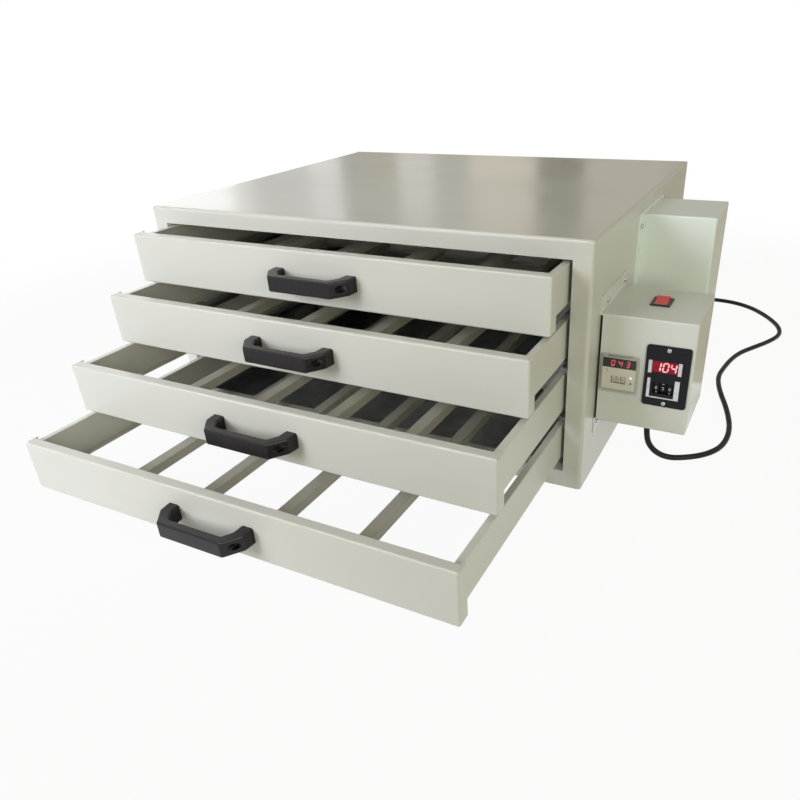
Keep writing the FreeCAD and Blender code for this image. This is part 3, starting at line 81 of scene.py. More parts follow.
def per_metre(size_mm: float) -> float:
    """Gives the texture scale at which a pattern repeats about every size_mm."""
    return 1.0 / (size_mm * MM)


def add_node(tree: Tree, kind: str, inputs: Optional[dict] = None, **settings: object) -> Node:
    """Adds one shader node with its settings, its values and its links.

    Args:
        tree: The node tree that gets the node.
        kind: Blender's type name of the node, without the ShaderNode that all begin with.
        inputs: Values, output sockets, or nodes that stand for their first output, each by the name or number
            of the input it goes to.
        settings: The node's own properties.

    Returns:
        The new node.
    """
    made = tree.nodes.new("ShaderNode" + kind)
    for key, value in settings.items():
        setattr(made, key, value)
    for key, value in (inputs or {}).items():
        if isinstance(value, Node):
            value = value.outputs[0]
        if isinstance(value, Socket):
            tree.links.new(value, made.inputs[key])
        else:
            made.inputs[key].default_value = value
    return made


@dataclass(frozen=True)
class Finish:
    """What every finish has: a name, a colour, and a material that is made once."""

    name: str
    colour: str

    def surface(self, tree: Tree) -> Node:
        """Builds the finish's nodes; each kind of finish has its own."""
        raise NotImplementedError

    def material(self) -> bpy.types.Material:
        """Gives the finish's material.

        Returns:
            The material, the same one each time.
        """
        made = bpy.data.materials.get(self.name)
        if made is None:
            made = bpy.data.materials.new(self.name)
            made.use_nodes = True
            made.node_tree.nodes.clear()
            add_node(made.node_tree, "OutputMaterial", {"Surface": self.surface(made.node_tree)})
            made.diffuse_color = linear(self.colour)
        return made

    def mottled(self, tree: Tree, place: Socket, size_mm: float, other: str, share: float) -> Socket:
        """Mixes soft clouds of a second colour into the finish's colour.

        Args:
            tree: The material's node tree.
            place: The texture coordinates.
            size_mm: How wide a cloud is.
            other: The second colour.
            share: The most of the second colour that shows, from 0 to 1.

        Returns:
            The mixed colour.
        """
        clouds = add_node(tree, "TexNoise", {"Vector": place, "Scale": per_metre(size_mm), "Detail": 3.0})
        amount = add_node(tree, "MapRange", {
            "Value": clouds, "From Min": 0.35, "From Max": 0.7, "To Max": share})
        mixed = add_node(tree, "Mix", {
            "Factor": amount, MIX_A: linear(self.colour), MIX_B: linear(other)}, data_type="RGBA")
        return mixed.outputs[MIX_RESULT]


@dataclass(frozen=True)
class PowderCoat(Finish):
    """Polyester powder coat, baked on folded steel sheet."""

    cloud: str
    roughness: float = 0.2
    cloud_mm: float = 260.0
    peel_mm: float = 7.0
    peel_height_mm: float = 0.012
    wipe_mm: float = 140.0
    edge_mm: float = 0.7

    def surface(self, tree: Tree) -> Node:
        """Builds a semi-gloss paint with orange peel and rounded edges.

        Args:
            tree: The material's node tree.

        Returns:
            The shader.
        """
        place = add_node(tree, "TexCoord").outputs["Object"]
        # Real orange peel is 1 to 2 mm wide; it is drawn at 7 mm, because finer waves don't show at this size.
        peel = add_node(tree, "TexNoise", {"Vector": place, "Scale": per_metre(self.peel_mm), "Detail": 1.5})
        # The paint draws round every cut edge, so each edge catches a thin line of light.
        edge = add_node(tree, "Bevel", {"Radius": self.edge_mm * MM}, samples=4)
        bump = add_node(tree, "Bump", {
            "Strength": 0.35, "Distance": self.peel_height_mm * MM, "Height": peel, "Normal": edge})
        # Wiping leaves the gloss a little uneven, in long soft patches.
        wipe = add_node(tree, "TexNoise", {"Vector": place, "Scale": per_metre(self.wipe_mm), "Detail": 4.0})
        rough = add_node(tree, "MapRange", {
            "Value": wipe, "From Min": 0.3, "From Max": 0.7, "To Min": self.roughness - 0.04,
            "To Max": self.roughness + 0.05})
        shade = self.mottled(tree, place, size_mm=self.cloud_mm, other=self.cloud, share=0.5)
        return add_node(tree, "BsdfPrincipled", {
            "Base Color": shade, "Roughness": rough, "Normal": bump, "IOR": 1.45})


@dataclass(frozen=True)
class ZincSheet(Finish):
    """Hot-dip galvanised steel sheet, as rolled."""

    crystal: str
    spangle_mm: float = 14.0

    def surface(self, tree: Tree) -> Node:
        """Builds dull zinc whose crystals differ in shade and gloss.

        Args:
            tree: The material's node tree.

        Returns:
            The shader.
        """
        place = add_node(tree, "TexCoord").outputs["Object"]
        # Each crystal of zinc reflects differently, which gives the sheet its frosted patchwork.
        crystals = add_node(tree, "TexVoronoi", {"Vector": place, "Scale": per_metre(self.spangle_mm)})
        tone = crystals.outputs["Color"]
        shade = add_node(tree, "Mix", {
            "Factor": tone, MIX_A: linear(self.colour), MIX_B: linear(self.crystal)}, data_type="RGBA")
        gloss = add_node(tree, "MapRange", {"Value": tone, "To Min": 0.34, "To Max": 0.52})
        return add_node(tree, "BsdfPrincipled", {
            "Base Color": shade.outputs[MIX_RESULT], "Metallic": 0.9, "Roughness": gloss})


@dataclass(frozen=True)
class PlatedSteel(Finish):
    """Turned or drawn steel with a thin plating."""

    roughness: float = 0.24
    darker: str = "#7F8286"
    scratch_mm: float = 0.9
    patch_mm: float = 3.0

    def surface(self, tree: Tree) -> Node:
        """Builds bright metal with the fine marks of drawing and driving.

        Args:
            tree: The material's node tree.

        Returns:
            The shader.
        """
        place = add_node(tree, "TexCoord").outputs["Object"]
        # The marks scatter the light, so the metal glints in points and not as one mirror.
        marks = add_node(tree, "TexNoise", {
            "Vector": place, "Scale": per_metre(self.scratch_mm), "Detail": 4.0})
        rough = add_node(tree, "MapRange", {
            "Value": marks, "To Min": self.roughness * 0.7, "To Max": self.roughness * 1.4})
        shade = self.mottled(tree, place, size_mm=self.patch_mm, other=self.darker, share=0.6)
        return add_node(tree, "BsdfPrincipled", {"Base Color": shade, "Metallic": 1.0, "Roughness": rough})


@dataclass(frozen=True)
class BrushedAluminium(Finish):
    """Rolled aluminium trim, brushed along X and clear anodised."""

    darker: str
    grain_mm: float = 0.35
    grain_stretch: float = 40.0
    grain_height_mm: float = 0.01
    patch_mm: float = 6.0

    def surface(self, tree: Tree) -> Node:
        """Builds pale metal with long fine grain.

        Args:
            tree: The material's node tree.

        Returns:
            The shader.
        """
        place = add_node(tree, "TexCoord").outputs["Object"]
        # The brush leaves lines that are about forty times longer than they are wide.
        along = add_node(tree, "Mapping", {
            "Vector": place, "Scale": (1.0, self.grain_stretch, self.grain_stretch)})
        grain = add_node(tree, "TexNoise", {
            "Vector": along, "Scale": per_metre(self.grain_mm * self.grain_stretch), "Detail": 3.0})
        rough = add_node(tree, "MapRange", {"Value": grain, "To Min": 0.28, "To Max": 0.46})
        bump = add_node(tree, "Bump", {"Strength": 0.3, "Distance": self.grain_height_mm * MM, "Height": grain})
        shade = self.mottled(tree, place, size_mm=self.patch_mm, other=self.darker, share=0.5)
        return add_node(tree, "BsdfPrincipled", {
            "Base Color": shade, "Metallic": 0.85, "Roughness": rough, "Normal": bump})


@dataclass(frozen=True)
class MouldedPlastic(Finish):
    """Injection-moulded thermoplastic with a spark-eroded texture."""

    cloud: str
    roughness: float
    gloss: float = 0.5
    glow: float = 0.0
    cloud_mm: float = 25.0
    grain_mm: float = 1.1
    grain_height_mm: float = 0.03
    edge_mm: float = 0.3

    def surface(self, tree: Tree) -> Node:
        """Builds a plastic with a fine grain and slightly uneven gloss.

        Args:
            tree: The material's node tree.

        Returns:
            The shader.
        """
        place = add_node(tree, "TexCoord").outputs["Object"]
        # The mould's eroded skin leaves a fine pebble that breaks up the highlights.
        grain = add_node(tree, "TexNoise", {"Vector": place, "Scale": per_metre(self.grain_mm), "Detail": 2.0})
        # A mould's corners are rounded, so each one draws a soft line of light.
        edge = add_node(tree, "Bevel", {"Radius": self.edge_mm * MM}, samples=4)
        bump = add_node(tree, "Bump", {
            "Strength": 0.4, "Distance": self.grain_height_mm * MM, "Height": grain, "Normal": edge})
        rough = add_node(tree, "MapRange", {
            "Value": grain, "From Min": 0.3, "From Max": 0.7, "To Min": self.roughness - 0.05,
            "To Max": self.roughness + 0.07})
        shade = self.mottled(tree, place, size_mm=self.cloud_mm, other=self.cloud, share=0.35)
        return add_node(tree, "BsdfPrincipled", {
            "Base Color": shade, "Roughness": rough, "Normal": bump, "IOR": 1.5,
            "Specular IOR Level": self.gloss, "Emission Color": linear(self.colour),
            "Emission Strength": self.glow})


@dataclass(frozen=True)
class TintedWindow(Finish):
    """Cast acrylic filter in front of a lit display, polished."""

    glow: float
    gloss: float = 0.25
    haze: str = "#200508"
    haze_mm: float = 9.0

    def surface(self, tree: Tree) -> Node:
        """Builds a glossy dark filter with a little light behind it.

        Args:
            tree: The material's node tree.

        Returns:
            The shader.
        """
        place = add_node(tree, "TexCoord").outputs["Object"]
        # The lit bars behind the filter give it a faint uneven glow.
        haze = self.mottled(tree, place, size_mm=self.haze_mm, other=self.haze, share=0.7)
        return add_node(tree, "BsdfPrincipled", {
            "Base Color": haze, "Roughness": 0.12, "IOR": 1.49, "Specular IOR Level": self.gloss,
            "Emission Color": linear(self.colour), "Emission Strength": self.glow})


@dataclass(frozen=True)
class ClearPolycarbonate(Finish):
    """Injection-moulded clear polycarbonate, polished."""

    clear_share: float = 0.03
    edge_share: float = 0.6
    haze_mm: float = 7.0

    def surface(self, tree: Tree) -> Node:
        """Builds a clear plastic that greys where it is seen edge on, with faint rubbed haze.

        Args:
            tree: The material's node tree.

        Returns:
            The shader.
        """
        place = add_node(tree, "TexCoord").outputs["Object"]
        # Rubbing leaves a light haze, in patches.
        haze = add_node(tree, "TexNoise", {"Vector": place, "Scale": per_metre(self.haze_mm), "Detail": 4.0})
        rough = add_node(tree, "MapRange", {"Value": haze, "To Min": 0.05, "To Max": 0.2})
        skin = add_node(tree, "BsdfPrincipled", {
            "Base Color": linear(self.colour), "Roughness": rough, "IOR": 1.58})
        clear = add_node(tree, "BsdfTransparent", {"Color": (0.99, 0.99, 0.985, 1.0)})
        edge = add_node(tree, "LayerWeight", {"Blend": 0.15})
        share = add_node(tree, "MapRange", {
            "Value": edge.outputs["Facing"], "To Min": self.clear_share, "To Max": self.edge_share})
        return add_node(tree, "MixShader", {0: share, 1: clear, 2: skin})


@dataclass(frozen=True)
class RubberSheath(Finish):
    """Extruded soft PVC sheath, or the same compound moulded."""

    roughness: float = 0.38
    gloss: float = 0.2
    dust: str = "#1A1A1B"
    dust_mm: float = 12.0
    rub_mm: float = 18.0
    rub_height_mm: float = 0.02

    def surface(self, tree: Tree) -> Node:
        """Builds a satin black skin with rubbed and dusty patches.

        Args:
            tree: The material's node tree.

        Returns:
            The shader.
        """
        place = add_node(tree, "TexCoord").outputs["Object"]
        # Handling polishes the skin in places and leaves dust in others.
        rub = add_node(tree, "TexNoise", {"Vector": place, "Scale": per_metre(self.rub_mm), "Detail": 5.0})
        rough = add_node(tree, "MapRange", {
            "Value": rub, "From Min": 0.3, "From Max": 0.7, "To Min": self.roughness - 0.08,
            "To Max": self.roughness + 0.14})
        bump = add_node(tree, "Bump", {"Strength": 0.3, "Distance": self.rub_height_mm * MM, "Height": rub})
        shade = self.mottled(tree, place, size_mm=self.dust_mm, other=self.dust, share=0.5)
        return add_node(tree, "BsdfPrincipled", {
            "Base Color": shade, "IOR": 1.52, "Specular IOR Level": self.gloss, "Roughness": rough,
            "Normal": bump})


@dataclass(frozen=True)
class LitSegment(Finish):
    """Light-emitting diode seen through its diffusing bar."""

    strength: float
    core: str
    core_mm: float = 6.0
    unlit: str = "#401010"

    def surface(self, tree: Tree) -> Node:
        """Builds a red light whose middle is paler, as the bright bars of a display are.

        Args:
            tree: The material's node tree.

        Returns:
            The shader.
        """
        place = add_node(tree, "TexCoord").outputs["Object"]
        # The chips behind the diffuser shine through as paler patches.
        shine = self.mottled(tree, place, size_mm=self.core_mm, other=self.core, share=1.0)
        return add_node(tree, "BsdfPrincipled", {
            "Base Color": linear(self.unlit), "Roughness": 0.4, "Emission Color": shine,
            "Emission Strength": self.strength})


@dataclass(frozen=True)
class PrintedInk(Finish):
    """Pad-printed or hot-stamped marking."""

    worn: str = "#8A8A86"
    worn_mm: float = 0.8

    def surface(self, tree: Tree) -> Node:
        """Builds a thin matt ink, a little thin in places.

        Args:
            tree: The material's node tree.

        Returns:
            The shader.
        """
        place = add_node(tree, "TexCoord").outputs["Object"]
        # Thumbs rub the ink, so it greys in specks.
        shade = self.mottled(tree, place, size_mm=self.worn_mm, other=self.worn, share=0.25)
        return add_node(tree, "BsdfPrincipled", {"Base Color": shade, "Roughness": 0.6})


@dataclass(frozen=True)
class StudioBoard(Finish):
    """Matt painted floor of the studio."""

    cloud: str
    cloud_mm: float = 900.0
    white_share: float = 0.94
    near_mm: float = 950.0
    far_mm: float = 1700.0

    def surface(self, tree: Tree) -> Node:
        """Builds a pale matt floor that turns to plain white away from the object and keeps its shadow near it.

        Args:
            tree: The material's node tree.

        Returns:
            The shader.
        """
        place = add_node(tree, "TexCoord").outputs["Object"]
        away = add_node(tree, "VectorMath", {0: place}, operation="LENGTH")
        fade = add_node(tree, "MapRange", {
            "Value": away.outputs["Value"], "From Min": self.near_mm * MM, "From Max": self.far_mm * MM,
            "To Min": self.white_share, "To Max": 1.0}, interpolation_type="SMOOTHSTEP")
        shade = self.mottled(tree, place, size_mm=self.cloud_mm, other=self.cloud, share=0.3)
        board = add_node(tree, "BsdfDiffuse", {"Color": shade})
        white = add_node(tree, "Emission", {"Color": (1.0, 1.0, 1.0, 1.0), "Strength": 1.0})
        seen = seen_directly(tree)
        share = add_node(tree, "Math", {0: seen, 1: fade}, operation="MULTIPLY")
        return add_node(tree, "MixShader", {0: share, 1: board, 2: white})


def seen_directly(tree: Tree) -> Node:
    """Gives 1 for rays of the camera and for those that metal and glass send on, and 0 for the others.

    Args:
        tree: The node tree that gets the nodes.

    Returns:
        The node with that number.
    """
    path = add_node(tree, "LightPath")
    first = add_node(tree, "Math", {
        0: path.outputs["Is Camera Ray"], 1: path.outputs["Is Glossy Ray"]}, operation="MAXIMUM")
    return add_node(tree, "Math", {0: first, 1: path.outputs["Is Transmission Ray"]}, operation="MAXIMUM")


# Powder coats: even pale skins, duller on the drawers. The bars' coat is darker and yellower as painted shade;
# the box's is lighter and the housing's lighter and greener as painted light on their fronts.
CABINET_PAINT = PowderCoat("grey_white_powder_coat", "#CFCEC6", cloud="#C8C7BE")
DRAWER_PAINT = PowderCoat("drawer_powder_coat", "#CFCEC6", cloud="#C8C7BE", roughness=0.32)
# Painted shade: the bars' coat is darker and yellower than the drawers', for the shade that lies inside the
# drawers.
SHADED_BAR_PAINT = PowderCoat("screen_bar_coat_with_painted_shade", "#B6B3A6", cloud="#ABA797", roughness=0.36)
# Painted light: these coats are lighter than the cabinet's, and the housing's greener, for the cool light that
# falls on the box's and housing's fronts.
BOX_PAINT_WITH_PAINTED_LIGHT = PowderCoat("control_box_coat_with_painted_light", "#D8DAD4", cloud="#D0D2CB")
HOUSING_PAINT_WITH_PAINTED_LIGHT = PowderCoat("fan_housing_coat_with_painted_light", "#E6EEE8", cloud="#DEE6DF")
# Metals: frosted runners, bright screws, dark bolts that only glint, and a heater browned by its own heat.
ZINC_SHEET = ZincSheet("galvanised_runner_sheet", "#9DA1A4", crystal="#B9BDC0")
ZINC_SCREW = PlatedSteel("zinc_plated_screw_steel", "#C9CBCE")
BLACK_BOLT = PlatedSteel("black_oxide_bolt_steel", "#868486", roughness=0.3, darker="#525052")
CHROME_WIRE = PlatedSteel("chrome_plated_guard_wire", "#D8DADC", roughness=0.1, darker="#B5B8BC")
HEATER_STEEL = PlatedSteel("heat_tinted_stainless_tube", "#A79C8C", roughness=0.3, darker="#7A6A58")
NICKEL_BLADE = PlatedSteel("nickel_plated_brass_blade", "#CFC9BC", roughness=0.18, darker="#A9A294")
TRIM = BrushedAluminium("brushed_aluminium_trim", "#D4D5D8", darker="#B4B6BA")
# Plastics: near-black handles with light along their ridges, satin instruments, and a rocker with a faint
# painted glow.
HANDLE_NYLON = MouldedPlastic("glass_filled_nylon_handle", "#0E0A0D", cloud="#171316", roughness=0.3,
                              gloss=0.38, edge_mm=0.8)
BLACK_ABS = MouldedPlastic("moulded_black_abs", "#15161A", cloud="#1C1D22", roughness=0.28, gloss=0.2)
FAN_PLASTIC = MouldedPlastic("glass_filled_fan_plastic", "#202124", cloud="#2B2C30", roughness=0.5)
GREY_ABS = MouldedPlastic("moulded_light_grey_abs", "#B9BAB2", cloud="#ADAEA6", roughness=0.35)
BEIGE_PLATE = MouldedPlastic("moulded_beige_face_plate", "#EAE6DB", cloud="#DFDACC", roughness=0.4)
BEIGE_WHEEL = MouldedPlastic("moulded_beige_thumbwheel", "#D9D4C4", cloud="#C6C0AD", roughness=0.4)
BLACK_WHEEL = MouldedPlastic("moulded_black_thumbwheel", "#0B0C0E", cloud="#121316", roughness=0.45, gloss=0.2)
# Painted light: the rocker key's faint emission brightens its red.
ROCKER_RED = MouldedPlastic("translucent_red_rocker", "#D02A1E", cloud="#B01A10", roughness=0.22, glow=0.08)
TERMINAL_NYLON = MouldedPlastic("natural_nylon_terminal_block", "#D9D5C8", cloud="#C8C3B4", roughness=0.45)
RELAY_PLASTIC = MouldedPlastic("blue_grey_relay_case", "#4D5A66", cloud="#3F4A55", roughness=0.28)
GLAND_NYLON = MouldedPlastic("moulded_black_nylon_gland", "#222225", cloud="#2E2E32", roughness=0.45)
# Windows: deep red round the bright digits, nearly black round the dim ones, and the cover's greyish veil.
TIMER_WINDOW = TintedWindow("lit_red_acrylic_window", "#7C0018", glow=0.55)
CONTROLLER_WINDOW = TintedWindow("smoked_acrylic_window", "#1C1613", glow=0.02)
CLEAR_COVER = ClearPolycarbonate("clear_polycarbonate_cover", "#B9BAB4")
# Soft PVC: a black skin with a dull sheen, duller on the plug.
LEAD_SHEATH = RubberSheath("extruded_pvc_sheath", "#0A0A0B")
PLUG_PVC = RubberSheath("moulded_pvc_plug", "#101011", roughness=0.45)
# Lights: bars that are almost white in the middle, and the red that spreads round them.
BRIGHT_SEGMENT = LitSegment("bright_red_display_bar", "#FFB0B6", strength=1.0, core="#FFE4E6")
DIM_SEGMENT = LitSegment("dim_red_display_bar", "#F23A50", strength=0.95, core="#FF7484")
BRIGHT_HALO = LitSegment("red_light_round_the_bright_bars", "#F0203C", strength=0.85, core="#D01030")
DIM_HALO = LitSegment("red_light_round_the_dim_bars", "#8C1428", strength=0.6, core="#701020")
LAMP = LitSegment("lit_red_indicator_lens", "#FFB8B8", strength=1.4, core="#FFFFFF")
# Inks: flat marks without gloss.
WHITE_INK = PrintedInk("hot_stamped_white_digit", "#E6E6E2")
DARK_INK = PrintedInk("pad_printed_dark_mark", "#2C2B28")

NODE_FINISHES: dict[str, Finish] = {
    "cabinet_paint": CABINET_PAINT, "housing_paint": HOUSING_PAINT_WITH_PAINTED_LIGHT, "galvanised_sheet": ZINC_SHEET,
    "screw_steel": ZINC_SCREW, "guard_chrome": CHROME_WIRE, "heater_steel": HEATER_STEEL,
    "fan_plastic": FAN_PLASTIC, "handle_plastic": HANDLE_NYLON, "instrument_plastic": BLACK_ABS,
    "controller_face": BEIGE_PLATE, "red_window": TIMER_WINDOW, "clear_cover": CLEAR_COVER,
    "trim_aluminium": TRIM, "wheel_plastic": BLACK_WHEEL, "pale_wheel_plastic": BEIGE_WHEEL,
    "rocker_red": ROCKER_RED, "terminal_plastic": TERMINAL_NYLON, "relay_plastic": RELAY_PLASTIC,
    "gland_plastic": GLAND_NYLON, "cord_rubber": LEAD_SHEATH, "plug_rubber": PLUG_PVC,
}


def dress_node(name: str, finish: Finish) -> None:
    """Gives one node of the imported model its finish.

    Args:
        name: The node's name.
        finish: The finish that it gets.
    """
    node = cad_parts[name]
    for place in node.material_slots:
        place.material = finish.material()


def add_band(shape: Shape, low: Ring, high: Ring) -> None:
    """Joins two rings of equal length by a band of faces.

    Args:
        shape: The mesh that gets the faces.
        low: The first ring.
        high: The second ring.
    """
    for i in range(len(low)):
        j = (i + 1) % len(low)
        shape.faces.new((low[i], low[j], high[j], high[i]))


def add_prism(shape: Shape, low: Ring, high: Ring) -> None:
    """Makes two rings of equal length into a closed solid.

    Args:
        shape: The mesh that gets the faces.
        low: The ring of the solid's bottom.
        high: The ring of its top.
    """
    shape.faces.new(high)
    shape.faces.new(low[::-1])
    add_band(shape, low, high)


def new_piece(name: str, shape: Shape, finish: Finish, body: str, smooth: bool = True) -> bpy.types.Object:
    """Makes a piece from a finished mesh and sets it on its body.

    Args:
        name: The piece's name.
        shape: Its mesh, in the shared frame, in metres; it is freed here.
        finish: Its finish.
        body: The body it rides on.
        smooth: Whether its faces shade as curved ones, apart from sharp edges.

    Returns:
        The new object.
    """
    mesh = bpy.data.meshes.new(name)
    bmesh.ops.recalc_face_normals(shape, faces=shape.faces)
    shape.to_mesh(mesh)
    shape.free()
    mesh.materials.append(finish.material())
    if smooth:
        mesh.shade_smooth()
        mesh.set_sharp_from_angle(angle=SHARP_EDGE)
    piece = bpy.data.objects.new(name, mesh)
    bpy.context.scene.collection.objects.link(piece)
    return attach(piece, body)


class Face(Enum):
    """The way a flat mark is bent to what carries it."""

    FLAT = "flat"
    ROUND = "round"


@dataclass(frozen=True)
class Carrier:
    """The surface that carries a mark: a plane that faces the front, or a wheel that turns about X."""

    middle: Point
    face: Face = Face.FLAT
    radius: float = 0.0
    turn: float = 0.0

    def place(self, across: float, up: float, out: float) -> Vector:
        """Puts one point of a mark onto the surface.

        Args:
            across: Distance to the right, in metres.
            up: Distance up, along the surface.
            out: Height above the surface.

        Returns:
            The point in the shared frame.
        """
        x, y, z = self.middle
        if self.face is Face.FLAT:
            return Vector((x + across, y - out, z + up))
        angle = self.turn + up / self.radius
        reach = self.radius + out
        return Vector((x + across, y - reach * math.cos(angle), z + reach * math.sin(angle)))


@dataclass
class SegmentDigits:
    """A row of seven-segment digits that lean a little."""

    text: str
    carrier: Carrier
    height: float
    pitch: float
    bar: float
    thick: float
    lean: float = 0.12
    half_width: float = 0.26
    bar_gap: float = 0.12

    LIT = {"0": "abcdef", "1": "bc", "2": "abged", "3": "abgcd", "4": "fgbc", "5": "afgcd", "6": "afgedc",
           "7": "abc", "8": "abcdefg", "9": "abcdfg"}

    def ends(self, segment: str) -> tuple[Vector, Vector]:
        """Gives the two ends of one bar, from the digit's middle.

        Args:
            segment: The bar's letter, a to g.

        Returns:
            The bar's first and last point.
        """
        w, h = self.height * self.half_width, self.height / 2
        points = {"a": ((-w, h), (w, h)), "b": ((w, h), (w, 0)), "c": ((w, 0), (w, -h)),
                  "d": ((-w, -h), (w, -h)), "e": ((-w, 0), (-w, -h)), "f": ((-w, h), (-w, 0)),
                  "g": ((-w, 0), (w, 0))}[segment]
        return Vector(points[0]), Vector(points[1])

    def add_bar(self, shape: Shape, shift: float, start: Vector, end: Vector) -> None:
        """Adds one bar with pointed ends.

        Args:
            shape: The mesh that gets the bar.
            shift: The digit's distance from the row's middle.
            start: The bar's first point.
            end: Its last point.
        """
        run = (end - start).normalized()
        side = Vector((-run.y, run.x)) * self.bar / 2
        start = start + run * self.bar * self.bar_gap
        end = end - run * self.bar * self.bar_gap
        tip = run * self.bar / 2
        outline = [start, start + tip + side, end - tip + side, end, end - tip - side, start + tip - side]
        rings = []
        for out in (0.0, self.thick):
            rings.append([shape.verts.new(self.carrier.place(shift + p.x + p.y * self.lean, p.y, out))
                          for p in outline])
        add_prism(shape, *rings)

    def build(self, name: str, finish: Finish, body: str) -> bpy.types.Object:
        """Builds the row of digits.

        Args:
            name: The piece's name.
            finish: The light of the bars.
            body: The body it rides on.

        Returns:
            The new object.
        """
        shape = bmesh.new()
        for i, digit in enumerate(self.text):
            shift = (i - (len(self.text) - 1) / 2) * self.pitch
            for segment in self.LIT[digit]:
                self.add_bar(shape, shift, *self.ends(segment))
        return new_piece(name, shape, finish, body, smooth=False)


@dataclass
class PrintedText:
    """Printed figures, bent to the surface that carries them."""

    height: float
    thick: float = 0.06 * MM
    # The font's size for a figure that is one unit high
    size_share: float = 1.37

    def outline(self, text: str) -> bpy.types.Mesh:
        """Makes the flat, solid figures.

        Args:
            text: The figures.

        Returns:
            Their mesh, upright in X and Y, its middle at the origin.
        """
        curve = bpy.data.curves.new("figures", "FONT")
        curve.body = text
        curve.size = self.height * self.size_share
        curve.align_x = "CENTER"
        curve.align_y = "CENTER"
        curve.extrude = self.thick / 2
        curve.resolution_u = 3
        holder = bpy.data.objects.new("figures", curve)
        bpy.context.scene.collection.objects.link(holder)
        bpy.context.view_layer.update()
        mesh = bpy.data.meshes.new_from_object(holder.evaluated_get(bpy.context.evaluated_depsgraph_get()))
        bpy.data.objects.remove(holder)
        bpy.data.curves.remove(curve)
        return mesh

    def add(self, shape: Shape, text: str, carrier: Carrier) -> None:
        """Adds figures to a mesh, on their carrier.

        Args:
            shape: The mesh that gets them.
            text: The figures.
            carrier: The surface that they are printed on.
        """
        flat = self.outline(text)
        before = len(shape.verts)
        shape.from_mesh(flat)
        shape.verts.ensure_lookup_table()
        for vert in shape.verts[before:]:
            vert.co = carrier.place(vert.co.x, vert.co.y, vert.co.z + self.thick / 2)
        bpy.data.meshes.remove(flat)


@dataclass
class Thumbwheels:
    """Printed figures round the three thumbwheels of one instrument."""

    node: str
    figure: float
    ink: Finish
    shown: tuple[int, int, int]
    figures: int = 10

    def build(self) -> None:
        """Prints ten figures on each wheel; they turn with it."""
        for i, first in enumerate(self.shown, 1):
            name = f"{self.node}_{i}"
            low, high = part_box(name)
            middle = (low + high) / 2
            radius = (high.z - low.z) / 2
            print_row = PrintedText(self.figure)
            shape = bmesh.new()
            for place in range(self.figures):
                figure = (first + place) % self.figures
                carrier = Carrier(tuple(middle), Face.ROUND, radius, math.radians(360 / self.figures * place))
                print_row.add(shape, str(figure), carrier)
            new_piece(f"{self.node}_figures_{i}", shape, self.ink, name)


